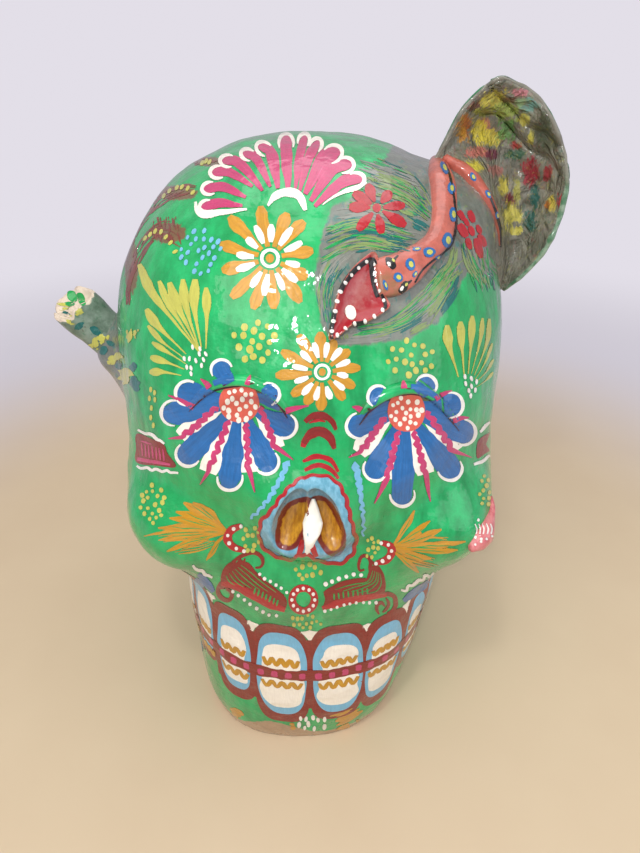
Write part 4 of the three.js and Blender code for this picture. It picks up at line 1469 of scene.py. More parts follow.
def petal_fan():
    """The crown's fan of rose petals, each with its cream scallop, over a cream crescent."""
    chart = sight.at(-10.2, 70.9)
    rose, cream = Layer("crown_petals", "magenta", 0.14), Layer("crown_scallops", "cream", 0.2)
    fans = [((-27, -2.6), (-21.2, -1.2), (-14, -2.0), 1.5), ((-26.4, 3.1), (-20.2, 3.9), (-13, 0.6), 1.6),
            ((-23.8, 8.3), (-18.7, 8.8), (-10.9, 4.0), 1.6), ((-20.7, 12.2), (-15, 11.4), (-7.6, 2.8), 1.6),
            ((-14.2, 14.6), (-9.9, 13.0), (-5.2, 3.9), 1.5), ((-9.3, 17.0), (-5.2, 14.6), (-2.9, 3.4), 1.8),
            ((-0.5, 20.2), (-0.2, 12), (0.3, 3.2), 2.0), ((5.6, 20.2), (3.8, 13), (2.4, 3.2), 1.5),
            ((10.0, 18.6), (6.4, 12.5), (3.8, 2.6), 1.5), ((16.6, 15.5), (11.2, 12.5), (5.6, 1.6), 2.3),
            ((20.4, 11.4), (14, 9.4), (7.3, -0.6), 2.1), ((23.8, 6.5), (17.1, 5.4), (8.6, -2.2), 1.9)]
    for tip, middle, root, broad in fans:
        rose.ribbon(chart, [tip, middle, root], scaled_profile([0.5, 0.95, 1, 0.95, 0.85, 0.7, 0.5, 0.3],
                                                               broad))
        way = np.array(tip) - np.array(middle)
        way /= np.linalg.norm(way)
        side = np.array((-way[1], way[0]))
        arc = [np.array(tip) - way * (broad + 0.3 * a * a) + (side * math.sin(a)
                                                              + way * math.cos(a)) * (broad + 0.3)
               for a in np.linspace(-2.0, 2.0, 9)]
        cream.ribbon(chart, arc, [0.2, 0.5, 0.6, 0.6, 0.6, 0.5, 0.2], step=0.6)
    cream.ribbon(chart, [(-28.6, -0.8), (-28.2, -3.4), (-26.4, -4.9), (-22.4, -4.3), (-17, -3.6),
                         (-12.6, -3.2)], [0.4, 0.8, 1.15, 0.9, 0.6, 0.3])
    cream.ribbon(chart, [(24.6, 5.4), (22, 3.8), (17.6, 2.2), (13.6, 0.2), (11, -1.8)],
                 [0.5, 0.8, 0.6, 0.35, 0.15])
    cream.ribbon(chart, [(-6.2, -2), (-3.6, 1), (0, 2.2), (3.6, 1.2), (5.8, -3.4)],
                 [0.3, 1.1, 1.3, 1.4, 1.3, 0.6])
    finish_all(rose, cream)


def yellow_fan(name, chart, petals, spots):
    yellow, white = Layer(name + "_petals", "yellow", 0.13), Layer(name + "_dots", "white", 0.2)
    for tip, middle, root, broad in petals:
        yellow.ribbon(chart, [tip, middle, root], scaled_profile([0.42, 0.95, 1, 0.72, 0.43, 0.28, 0.2,
                0.16, 0.12], 0.9 * broad), wobble=0.08)
    for u, v in spots:
        white.blob(chart, (u, v), 0.42, 0.85, turn=rng.uniform(-10, 30), dome=0.15)
    finish_all(yellow, white)


def fans():
    yellow_fan("fan_left", sight.at(-36.6, 19.6), [((-19.7, 31.1), (-15.5, 21.8), (-1, 3.6), 1.7),
                                                   ((-13.5, 25.9), (-10.9, 19.2), (-1.6, 4.7), 1.4),
                                                   ((-10.4, 25.4), (-7.8, 18.1), (-1, 4.1), 1.8),
                                                   ((-6.2, 26.4), (-5.2, 18.1), (-1, 4.1), 1.6),
                                                   ((-2.3, 26.4), (-2.6, 18.1), (-0.5, 5.2), 1.9),
                                                   ((1, 23.8), (1.3, 16.6), (1, 4.7), 1.6),
                                                   ((-17.6, 17.1), (-14.5, 12.4), (-5.2, 3.1), 1.6),
                                                   ((-17.1, 11.9), (-13, 7.3), (-5.7, 1.6), 1.0),
                                                   ((-15.8, 6.7), (-10.9, 3.6), (-5.2, 0), 1.0),
                                                   ((-16.3, 2.1), (-11.4, 0.5), (-5.7, -1.6), 1.3),
                                                   ((-16.6, -2.6), (-11.9, -2.6), (-6.7, -3.6), 1.3)],
               [(-3.1, 5.2), (-0.8, 4.7), (1, 3.1), (-1, 3.1), (-4.1, 1.6), (-2.1, 1), (0.3, 1.3),
                (-0.3, -0.5), (-4.9, -1), (-3.6, -1.3), (-3.6, -3.1), (-5.7, 1.6)])
    yellow_fan("fan_right", sight.at(47.6, 11.0), [
        ((-7.9, 20.7), (-7.4, 14.6), (-4.4, 4.5), 1.7), ((-3.8, 21.8), (-3.5, 15.2), (-2.6, 5), 1.5),
        ((0, 23.6), (-0.4, 16.8), (-1.4, 5.5), 1.3), ((3.1, 22.9), (2.4, 16), (-0.4, 5.5), 0.8),
        ((5.2, 22.7), (4.6, 15.4), (0.6, 5), 0.9), ((6.2, 15), (4.2, 9.4), (0.8, 3.8), 0.6),
        ((6.6, 10), (4.4, 6.2), (1, 2.6), 0.5), ((6.4, 6), (4.4, 3.6), (1.2, 1.4), 0.5)],
        [(-2.4, 4.6), (-0.4, 4), (-2.2, 2.4), (-0.4, 1.6), (1.2, 3), (-1.2, 0.2), (0.8, 0.4), (-0.6, -1.4)])


def flowers():
    daisy("daisy_upper", sight.at(-15.6, 52.5), [(100, 16.6), (69, 15.2), (47.6, 15.8), (10, 13.7),
                                                 (-27, 13.1), (-55, 16.8), (-86, 15.8), (-109, 16.7),
                                                 (-135, 17.2), (-166, 15.5), (164, 16.2), (134, 18.3)],
          [(88, 10.6), (54, 11.8), (26, 11.2), (-14, 9.6), (-41, 11.2), (-67, 10.8), (-99, 11.8),
           (-123, 10.8), (-161, 11.2), (174, 10.5), (140, 9.6), (114, 11.2)], 2.0, 2.6)
    daisy("daisy_lower", sight.at(0.7, 17.0), [(7, 12), (39, 11), (68, 10.8), (93, 12.6), (122, 13.8),
                                               (153, 14.4), (184, 14.6), (217, 12), (243, 11.4), (268, 12),
                                               (308, 11), (336, 11.2)],
          [(22, 9.4), (52, 9.6), (80, 9.4), (106, 9.6), (136, 9.4), (168, 9.6), (200, 9.2), (229, 9.4),
           (256, 9), (287, 8.8), (322, 8.8), (352, 8.2)], 1.7, 2.2)
    red = Layer("red_flowers", "red", 0.2)
    first = sight.at(17.7, 68.2)
    for angle, reach in ((111, 8), (51, 6.8), (6, 8.8), (-31, 10.6), (-80, 8.2), (-131, 9.2), (178, 8.6),
                         (147, 8.8)):
        red.ribbon(first, [polar(angle, reach), polar(angle, reach * 0.6), polar(angle, 2.0)],
                   [0.7, 1.5, 1.7, 1.4, 0.9, 0.4])
    red.blob(first, (0, 0), 1.3, 1.4)
    for top, foot, half in (((43.3, 67.4), (45.2, 64.2), 1.0), ((46.6, 67.4), (47.9, 63.7), 1.0),
                            ((43.4, 63.2), (45.8, 59.2), 1.4), ((46.8, 62.6), (47.9, 59.6), 0.9),
                            ((49.1, 63.0), (50.2, 60.2), 0.8), ((45.9, 58.8), (46.9, 55.3), 0.9),
                            ((49.5, 60.0), (51.6, 56.3), 1.1), ((48.5, 58.8), (50.4, 52.6), 1.2),
                            ((44.9, 65.0), (46.4, 62.6), 0.8)):
        red.ribbon(sight, [top, foot], scaled_profile([0.5, 0.95, 1, 0.9, 0.45], half))
    red.finish()


def eyes():
    eye_flower("eye_left", sight.at(-25.2, 7.5), [(-6.9, 12.7), (-19.4, 3.4), (-23.8, -3.8), (-18.2, -18.5),
                                                  (-3.4, -26.9), (10.1, -21.7), (17.3, -8.9), (12.1, 3.4)],
               [((-7, -1.4), (-17.3, -10.6), (-22.1, -11.2)), ((-3.4, -5.8), (-9.4, -20.9), (-12.2, -25.5)),
                ((2.2, -6.6), (3, -20.9), (4.8, -28.1)), ((6.6, -1.4), (11.4, -13.8), (16.9, -17.9))],
               [((-22.1, 2.2), (-14, -1.4)), ((-12, 7.5), (-9.3, 4.6)), ((21.7, -1.0), (14.5, -2.6)),
                ((3.4, 8.4), (2.4, 5.6))], (6.3, 6.0), LID_LINES[0])
    eye_flower("eye_right", sight.at(26.9, 4.9), [(7.9, 10.1), (-11.4, 5.9), (-18.2, -5.7), (-11.2, -21),
                                                  (-1.5, -29.4), (15.6, -20.6), (21, -7.9), (17.3, 2.2)],
               [((-6.8, -2.2), (-14.2, -12.7), (-18, -14.5)), ((-2.4, -6.6), (-5.9, -20.2), (-9.9, -28.9)),
                ((2.4, -6.6), (5.9, -18.9), (7.5, -28.3)), ((6.4, -0.4), (14.7, -12.3), (20.4, -14.5))],
               [((19.5, -2.0), (14.7, -3.1)), ((14.2, 6.4), (9, 3.9)), ((-0.9, 9.6), (-0.7, 7)),
                ((-16.9, 1.3), (-14.2, 0.2))], (5.9, 6.4), LID_LINES[1])


def lid_shadows():
    """The dark edge along each fold: dark paint with chips, and a maroon line under the fold that is painted
    shadow; blue petal feet over the folds.
    """
    dark = Layer("lid_edges", "maroon", 0.4)
    chips = Layer("lid_chips", "maroon", 0.2)
    blue = Layer("lid_petals", "blue", 0.24)
    for line in LID_LINES:
        # painted shadow: a maroon line just under the lid's edge stands for the shade under the overhang, as
        # well as the dark paint there
        dark.ribbon(bare_sight, [(u, v - 0.7) for u, v in line], [0.1, 0.3, 0.42, 0.45, 0.42, 0.35, 0.25,
                0.1], wobble=0.2)
        for _ in range(5):
            i = int(rng.integers(1, len(line) - 2))
            u, v = line[i]
            chips.ribbon(sight, [(u, v + 0.3), (u + 1.6, v + 0.5)], [0.1, 0.22, 0.1], wobble=0.4)
    for feet in ([(-33.2, 13.4), (-30.2, 14.5), (-26.8, 15.0)], [(28.4, 12.5), (31.4, 12.0), (34.2, 10.7),
            (36.8, 9.0)]):
        blue.ribbon(sight, feet, [0.7, 1.0, 0.7])
    finish_all(chips, dark, blue)


def clusters():
    yellow = Layer("dots_yellow", "yellow", 0.14)
    sky = Layer("dots_sky", "sky", 0.14)
    white = Layer("dots_white", "white", 0.16)
    for centre, radii, count, size in (((-20.5, 27.4), (6.6, 7.2), 17, 1.0),
                                       ((28, 21.3), (7.6, 5.6), 18, 0.85),
                                       ((-52.3, -24.2), (4, 6), 20, 0.62),
                                       ((52, -19.9), (2.8, 4.8), 13, 0.6),
                                       ((-21.8, -35.2), (3, 4.2), 11, 0.66),
                                       ((16.2, -38), (2.6, 3.4), 10, 0.56),
                                       ((-3.9, -45.4), (4.2, 2.5), 9, 0.66),
                                       ((-3.9, -60.7), (5.4, 2.2), 13, 0.52)):
        dots(yellow, sight, centre, radii, count, size)
    dots(sky, sight, (-37.6, 54.9), (6.6, 7.4), 24, 0.58, long=1.5, turn=-28)
    dots(white, sight, (-2, -92.4), (5.6, 2.0), 10, 0.55, long=1.5)
    for u, v in ((-52.8, 11.6), (-51.6, 10.6), (-53.2, 8.8), (-51.5, 8.4), (-52.6, 5.8), (-52.8, 2.8),
                 (-52, 0.4)):
        yellow.blob(sight, (u, v), 0.45, 0.9, dome=0.1)
    for u, v, turn in ((-54.6, 58.8, -30), (-53, 60, -30), (-51.4, 61, -25), (-49.6, 60.8, -20),
                       (-48.1, 59.2, -40), (-46.6, 57.4, -40), (-45.2, 54.6, -60), (-47, 73.6, -30),
                       (-44.7, 74.6, -30), (-43.1, 74.8, -30), (-41.3, 74.4, -30), (-39.7, 73.1, -45),
                       (-48.8, 72, -30), (-36.8, 82.3, -30), (-35.6, 82.9, -30), (-34.5, 82.6, -30)):
        yellow.blob(sight, (u, v), 0.5, 0.95, turn=turn, dome=0.1)
    finish_all(yellow, sky, white)


def band_between(layer, chart, outer, inner, columns=7):
    """Paint filling the band between two closed outlines."""
    turned = np.cross(outer, np.roll(outer, -1, axis=0)).sum()
    if turned < 0:
        outer, inner = outer[::-1], inner[::-1]
    spans = np.linspace(0, 1, columns)
    grid = outer[:, None] * (1 - spans)[None, :, None] + inner[:, None] * spans[None, :, None]
    grid = np.concatenate([grid, grid[:1]])
    marks = np.zeros(grid.shape[:2] + (3,))
    marks[..., 0] = np.arange(len(grid))[:, None] * 0.8
    marks[..., 1] = spans[None, :] * 3
    layer.lay(chart, grid, np.zeros(grid.shape[:2]), marks)


def patch(layer, chart, corners, count=60, columns=9):
    """Paint filling a closed outline."""
    outer = closed_curve(corners, count)
    middle = outer.mean(0)
    band_between(layer, chart, outer, middle + (outer - middle) * 0.02, columns)


def nose():
    outline = closed_curve(NOSE_OUTLINE, 110)
    red = Layer("nose_scallops", "red", 0.2)
    loop = np.concatenate([outline, outline[:1]])
    swing = np.stack([np.sin(np.arange(len(loop)) * 1.26), np.cos(np.arange(len(loop)) * 1.26)], -1) * 0.32
    red.ribbon(bare_sight, loop + swing, [0.5, 0.65, 0.5, 0.6, 0.5], wobble=0.12, step=0.6)
    rose = Layer("nose_strokes", "red", 0.2)
    rose.ribbon(bare_sight, [(-5.4, -35.4), (-5.7, -37.4), (-6.6, -40.2)], [0.5, 0.9, 0.8])
    rose.ribbon(bare_sight, [(-2.4, -35.4), (-2.4, -37.6), (-1.2, -40.6)], [0.5, 0.9, 0.8])
    septum()
    finish_all(red, rose)


def septum():
    """The cream blade down the middle of the nose opening."""
    line = resampled(np.array([(-2.1, -22.6), (-2.2, -26), (-2.3, -31), (-2.9, -35), (-4.0, -40)]), 0.8)
    top_place, low_place = bare_sight.put(-1.0, -19.6)[0], bare_sight.put(-4.0, -41.4)[0]
    flat = np.cross(SIGHT_RIGHT, low_place - top_place)
    n = len(line)
    t = np.linspace(0, 1, n)
    width = np.interp(t, [0, 0.2, 0.42, 0.62, 0.8, 1], [0.6, 2.2, 3.4, 2.9, 1.7, 1.2])
    angles = np.linspace(math.pi, 0, 13)
    rings = []
    for i in range(n):
        target = SIGHT_PLANE + line[i][0] * SIGHT_RIGHT + line[i][1] * SIGHT_UP
        way = (target - SIGHT) / np.linalg.norm(target - SIGHT)
        level = ((top_place - SIGHT) @ flat) / (way @ flat) + 0.8
        hits = [bare_sight.put(line[i][0] + share * width[i], line[i][1]) for share in (-0.5, -0.25, 0,
                0.25, 0.5)]
        nearest = min(np.linalg.norm(hit[0] - SIGHT) for hit in hits if hit is not None)
        crest = SIGHT + way * min(level, nearest - 0.5)
        ring = [crest + SIGHT_RIGHT * width[i] * math.cos(a) + way * (1 - math.sin(a)) * 1.5 for a in angles]
        ring += [crest + SIGHT_RIGHT * width[i] * x + way * 9 for x in (0.9, 0, -0.9)]
        rings.append(ring)
    rings = np.array(rings)
    rings[..., 0] += 0.15 * noise(rings, 4, 61)
    blade = tube_grid("nose_blade", rings, PAINTS["cream"])
    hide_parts("nasal_septum")


def face_lines():
    brown = Layer("bridge_arcs", "brown", 0.16)
    sky = Layer("face_waves_sky", "sky", 0.16)
    white = Layer("face_waves_white", "white", 0.16)
    arcs = Layer("bridge_arcs_red", "red", 0.16)
    brown.ribbon(sight, [(-4.6, 1.4), (-2.4, 3.2), (0.9, 3.3), (3.8, 1.6), (5.0, -1.0)],
                 [0.7, 1.0, 1.1, 0.9, 0.5], wobble=0.15)
    arcs.ribbon(sight, [(-3.4, 1.0), (-0.6, 1.9), (1.6, 1.4)], [0.2, 0.5, 0.2], wobble=0.2)
    brown.ribbon(sight, [(-5.0, -5.2), (-3.2, -2.6), (0, -1.6), (3.2, -3.4), (4.6, -6.9)],
                 [0.9, 1.5, 1.7, 1.3, 0.6], wobble=0.15)
    arcs.ribbon(sight, [(-5.2, -6.4), (-4.4, -4.0), (-2.6, -2.6)], [0.7, 1.1, 0.5], wobble=0.2)
    arcs.ribbon(sight, [(-5.3, -10.9), (-1, -9.3), (3.3, -10.5), (5.6, -14.2)], [0.5, 0.8, 0.8, 0.45])
    arcs.ribbon(sight, [(-4.8, -13.6), (-0.5, -12.1), (3.4, -13.5), (5.8, -16.2)], [0.5, 0.85, 0.85, 0.45])
    sky.ribbon(sight, wave((-9.9, -11.2), (-21.4, -28.9), 8, 0.7, bend=1.1), [0.9, 0.75, 0.65, 0.5, 0.4])
    sky.ribbon(sight, wave((11.1, -11.8), (13.7, -34.2), 9, 0.65, bend=0.4), [1.1, 0.8, 0.65, 0.5, 0.3])
    red, spots = Layer("nose_crescents", "red", 0.18), Layer("nose_crescent_dots", "white", 0.28)
    for line in ([(-24.6, -31), (-27.8, -32.4), (-28.9, -34.9), (-27.2, -37.4), (-23.6, -38.8)],
                 [(19.2, -36.2), (21.8, -37.2), (22.3, -39.4), (20.6, -41.6), (17.4, -42.6)]):
        red.ribbon(sight, line, [0.7, 1.3, 1.35, 1.2, 0.7])
        dotted(spots, sight, line, 6, 0.55)
    for line in (wave((-57, -1.3), (-48.6, -5.4), 5, 0.3, 0.6), wave((-57.2, -12.6), (-44.2, -14.6), 7, 0.4),
                 wave((-40, -43.6), (-33.6, -47.2), 4, 0.4), wave((25.6, -51.4), (35.4, -45.5), 4, 0.6),
                 wave((50.1, -1.9), (53, 1.4), 3, 0.25), wave((48.1, -12), (53.6, -8.7), 4, 0.3)):
        white.ribbon(sight, line, [0.35, 0.5, 0.5, 0.3])
    blue = Layer("jaw_corner_blue", "blue", 0.15)
    for line in ([(-38, -46), (-35.4, -48.6), (-33.2, -51.6)], [(-39, -47.6), (-36.6, -50.4)],
                 [(26, -54.4), (30.4, -51.2), (34, -48.4)], [(28, -52.2), (33.4, -49.4)]):
        blue.ribbon(sight, line, [0.6, 1.1, 1.2, 0.6])
    finish_all(brown, arcs, sky, white, red, spots, blue)


def cheek_fans():
    ochre = Layer("cheek_fans", "ochre", 0.12)
    gold = Layer("cheek_fans_gold", "gold", 0.14)
    thin = Layer("cheek_gaps", "green", 0.19)
    profile = [0.2, 0.8, 1, 0.92, 0.66, 0.4, 0.2]
    left = np.array((-28.6, -33))
    for i, (u, v, half) in enumerate(((-50.5, -32, 1.4), (-47, -28.8, 1.7), (-42.6, -23.8, 1.9),
                                      (-39.6, -23.6, 1.6), (-45, -26.6, 1.7), (-55, -34.2, 0.7),
                                      (-50.4, -35.6, 1.2), (-47.8, -39, 1.3), (-43, -36.8, 1.6),
                                      (-40, -30, 1.9), (-35.4, -41.8, 1.0), (-38, -34, 1.8))):
        tip = np.array((u, v))
        line = [tip, (tip + left) / 2 + (0, 0.9), left + rng.uniform(-0.6, 0.6, 2)]
        (gold if i % 3 == 1 else ochre).ribbon(sight, line, scaled_profile(profile, 0.78 * half), wobble=0.25)
        thin.ribbon(sight, [tip * 0.8 + left * 0.2 + (0, 0.5 * half), tip * 0.35 + left * 0.65 + (0, 0.5)],
                    [0.05, 0.16, 0.05], wobble=0.2)
    right = np.array((22.2, -38))
    for i, (u, v, half) in enumerate(((29.7, -26.3, 1.1), (34.5, -29.6, 1.2), (38, -32.2, 1.4),
                                      (45.5, -35.9, 1.2), (43, -38.6, 1.2), (36.6, -36.6, 1.6),
                                      (34.6, -41.4, 1.4), (31, -45.4, 1.2), (31.6, -33, 1.3),
                                      (40, -37, 1.2))):
        tip = np.array((u, v))
        line = [tip, (tip + right) / 2 + (0, -0.4), right + rng.uniform(-0.8, 0.8, 2)]
        (gold if i % 3 == 1 else ochre).ribbon(sight, line, scaled_profile(profile, 0.82 * half), wobble=0.25)
        thin.ribbon(sight, [tip * 0.8 + right * 0.2 + (0, -0.5 * half),
                            tip * 0.35 + right * 0.65 - (0, 0.3)], [0.05, 0.16, 0.05], wobble=0.2)
    for line, spread in (([(-51, -34), (-42, -33), (-31, -33.6)], 3.4),
                         ([(-46, -38.6), (-38, -37.4), (-31, -35)], 1.6),
                         ([(25, -37.4), (34, -36), (44, -37.4)], 2.6),
                         ([(25, -40), (32, -42), (38, -43.4)], 1.8)):
        dry_strokes(ochre, sight, line, spread, 5, half=0.22)
    finish_all(ochre, gold, thin)


def scrolls():
    dark = Layer("scroll_lines", "brown", 0.15)
    red = Layer("scroll_bands", "red", 0.18)
    white = Layer("scroll_dots", "white", 0.17)
    # left feather: edge lines, curls, then the fan of fine lines
    lines = [([(-25.6, -41.6), (-21.8, -44), (-19.2, -48.2), (-15.4, -50.6), (-11.4, -52.8)], 0.7),
             ([(-27.6, -42.4), (-24.2, -40.2), (-20.3, -39.4), (-18, -41.2), (-18.2, -43.6),
               (-20.2, -44.1)], 0.65), ([(-31, -48.6), (-32, -50.9), (-30.8, -53.6), (-28.2, -54.2),
                                         (-27.5, -52), (-29.2, -50.8)], 0.7),
             ([(-27.6, -42.6), (-29.8, -45.4), (-30.6, -48.8)], 0.8),
             ([(-26.2, -41.8), (-28.2, -45), (-28.6, -48.6)], 0.5),
             ([(-24.8, -41.2), (-26.4, -44.6), (-26.2, -49.4)], 0.5),
             ([(-23.4, -41.2), (-24.2, -45), (-23.6, -50.4)], 0.5),
             ([(1.2, -52), (7.4, -48.8), (13.4, -47.8), (17.6, -48)], 0.6),
             ([(17.4, -48.2), (15.8, -45), (15.6, -41.6), (13.4, -40.2), (12, -42.8), (12.4, -45),
               (13.8, -44.6)], 0.6), ([(16, -42), (19.2, -45.6), (20.2, -50.8)], 0.6),
             ([(15.4, -43.4), (17.6, -47), (18.2, -52)], 0.5), ([(18.6, -52), (23, -53), (23.2, -56.8),
            (21, -58.4)], 0.7), ([(20.6, -53.6), (21.4, -55.8), (19.6, -58)], 0.5),
            ([(18.4, -58.6), (17.6, -56.4), (19, -55), (20.2, -56.2)], 0.55),
            ([(13.6, -53.2), (18.6, -52.4)], 0.5)]
    patch(dark, sight, [(-31.6, -50.9), (-30.0, -47.4), (-27.8, -43.6), (-24.9, -42.2), (-22.2, -42.6),
                        (-20.4, -44.9), (-17.6, -47.6), (-14.4, -50.1), (-11.5, -52.5), (-10.3, -54.6),
                        (-11.0, -57.0), (-13.6, -56.8), (-17.9, -54.6), (-22.2, -52.3), (-26.5, -50.4),
                        (-29.6, -49.8)])
    patch(dark, sight, [(1.2, -51.7), (3.6, -50.0), (7.9, -48.4), (12.2, -47.8), (15.5, -47.6), (17, -50),
                        (17, -53), (10.1, -54), (4.7, -55.6), (1.0, -56.8), (1.6, -54)])
    patch(dark, sight, [(14.6, -47.4), (16.2, -43.6), (18.4, -44.6), (20.0, -46.9), (20.5, -49.8),
                        (19.6, -52.3), (16, -53), (14.8, -50)])
    gaps = Layer("scroll_gaps", "green", 0.21)
    for first, last, count in (([(-24.2, -42.9), (-20.6, -45.6), (-17.0, -48.6), (-12.4, -52.0)],
                                [(-29.8, -46.8), (-29.6, -48.0), (-28.8, -48.8), (-27.8, -49.4)], 6),
                               ([(3.4, -50.7), (9.0, -49.2), (14.4, -48.2), (16.2, -44.8)],
                                [(16.0, -52.4), (18.6, -51.4), (19.8, -49.0), (19.0, -45.8)], 5)):
        first, last = resampled(np.array(first, float), 0.4), resampled(np.array(last, float), 0.4)
        for i in range(count):
            share = (i + 0.5) / count
            places = np.linspace(0, 1, 8)
            line = [first[int(p * (len(first) - 1))] * (1 - share) + last[int(p * (len(last) - 1))] * share
                    for p in places]
            gaps.ribbon(sight, line, [0.07, 0.13, 0.15, 0.14, 0.07], wobble=0.12)
    for line, half in lines:
        dark.ribbon(sight, line, scaled_profile([0.5, 1, 1, 0.9, 0.5], half), wobble=0.1)
    for start, end, reach, count in (((-20.6, -50.0), (-12.4, -54.4), (-0.5, -1.9), 7),
                                     ((3.6, -52.2), (15.4, -50.2), (0.1, -1.9), 8)):
        for i in range(count):
            top = np.array(start) + (np.array(end) - start) * (i + 0.5) / count
            gaps.ribbon(sight, [top, top + reach], [0.16, 0.3, 0.16], wobble=0.1)
    red.ribbon(sight, [(-30.8, -48.9), (-26, -50), (-20.6, -53), (-15.8, -55.4), (-10.9, -57.2)],
               [0.7, 1.1, 1.2, 1.3, 1.2, 0.7])
    red.ribbon(sight, [(0.7, -56.8), (7.4, -54.8), (14.4, -53.4), (20.8, -52.6)], [0.6, 1.2, 1.1, 1.0, 0.6])
    dotted(white, sight, [(-18.7, -46), (-17.4, -47.4), (-13.6, -49.5), (-10.4, -51.7)], 6, 0.5)
    dotted(white, sight, [(-27.2, -51.4), (-23.1, -54.6), (-18.6, -57.4), (-16.2, -58.7), (-13.5, -59)], 8,
           0.55)
    dotted(white, sight, [(1.7, -49.2), (6.2, -47.4), (10.5, -46.1), (12.8, -46.3)], 6, 0.62)
    dotted(white, sight, [(1.6, -57.6), (8.7, -55.4), (13.3, -55), (17.6, -54.9)], 9, 0.5)
    ring = Layer("chin_ring", "red", 0.2)
    ring.ring(sight, (-5.2, -54), 3.55, 1.15)
    white.lift = 0.3  # these dots lie on the ring, not on the skin
    for angle in range(0, 331, 30):
        white.blob(sight, polar(angle, 3.55) + np.array((-5.2, -54)), 0.5, 0.58, dome=0.15)
    finish_all(dark, red, gaps, ring, white)


def temples():
    brown, rose = Layer("temple_bands", "brown", 0.13), Layer("temple_hatching", "magenta", 0.18)
    patch(brown, sight, [(-57.2, -2.2), (-52.6, -3.8), (-48.8, -5.6), (-47.6, -8.4), (-45, -12.6),
                         (-51, -12.2), (-57.2, -11.2), (-57.4, -6.6)])
    patch(brown, sight, [(49.4, -4.4), (53.4, -1.6), (54.4, -1.4), (54.6, -6.2), (51.6, -8.4), (49, -9.8)])
    for i in range(7):
        u = -55.6 + 1.1 * i
        rose.ribbon(sight, [(u, -5.2 - 0.3 * i), (u + 0.3, -9.2 - 0.25 * i)], [0.15, 0.28, 0.2])
    rose.ribbon(sight, [(-57, -10.2), (-51, -11.2), (-46.6, -11.9)], [0.5, 0.6, 0.3])
    rose.ribbon(sight, [(-55.8, -4.6), (-52.4, -5.4)], [0.2, 0.3, 0.15])
    finish_all(brown, rose)


def hatch_between(layer, first, last, count, half):
    """Fine hairs of paint between two lines, like marks of a stiff brush."""
    first, last = resampled(np.array(first, float), 0.5), resampled(np.array(last, float), 0.5)
    for _ in range(count):
        t, start, long = rng.uniform(), rng.uniform(-0.1, 0.8), rng.uniform(0.12, 0.3)
        hair = []
        for share in np.linspace(max(start, 0), min(start + long, 1), 4):
            a, b = first[int(share * (len(first) - 1))], last[int(share * (len(last) - 1))]
            hair.append(a * (1 - t) + b * t)
        layer.ribbon(sight, hair, [0.3 * half, half, 0.8 * half, 0.2 * half], wobble=0.25)


def rust_hatching():
    """Stiff-brush hairs of rust over the grey patches on the left of the crown."""
    rust = Layer("rust_hatching", "rust", 0.07)
    for first, last, count in (
            ([(-60.6, 38), (-60, 47), (-57, 56.5), (-52.5, 62.5), (-48, 64.8), (-43.6, 63)],
             [(-59.4, 38), (-58.6, 46), (-55, 53.5), (-51, 58.6), (-47, 58), (-43, 54.6)], 44),
            ([(-59.4, 57.5), (-56.6, 64.4), (-52, 70.4), (-47, 75), (-42, 76.4), (-38.6, 75.6)],
             [(-58.6, 57), (-55.6, 62.4), (-51, 67.6), (-46, 71.2), (-41.4, 72.6), (-38.6, 73.4)], 40),
            ([(-39.6, 82.4), (-36, 84.6), (-32, 84.4)], [(-39, 81.4), (-36, 82), (-32, 82.4)], 16),
            ([(-52.4, 65.4), (-53, 59)], [(-44.6, 65.6), (-42.6, 55)], 60)):
        hatch_between(rust, first, last, count, 0.24)
    rust.finish()


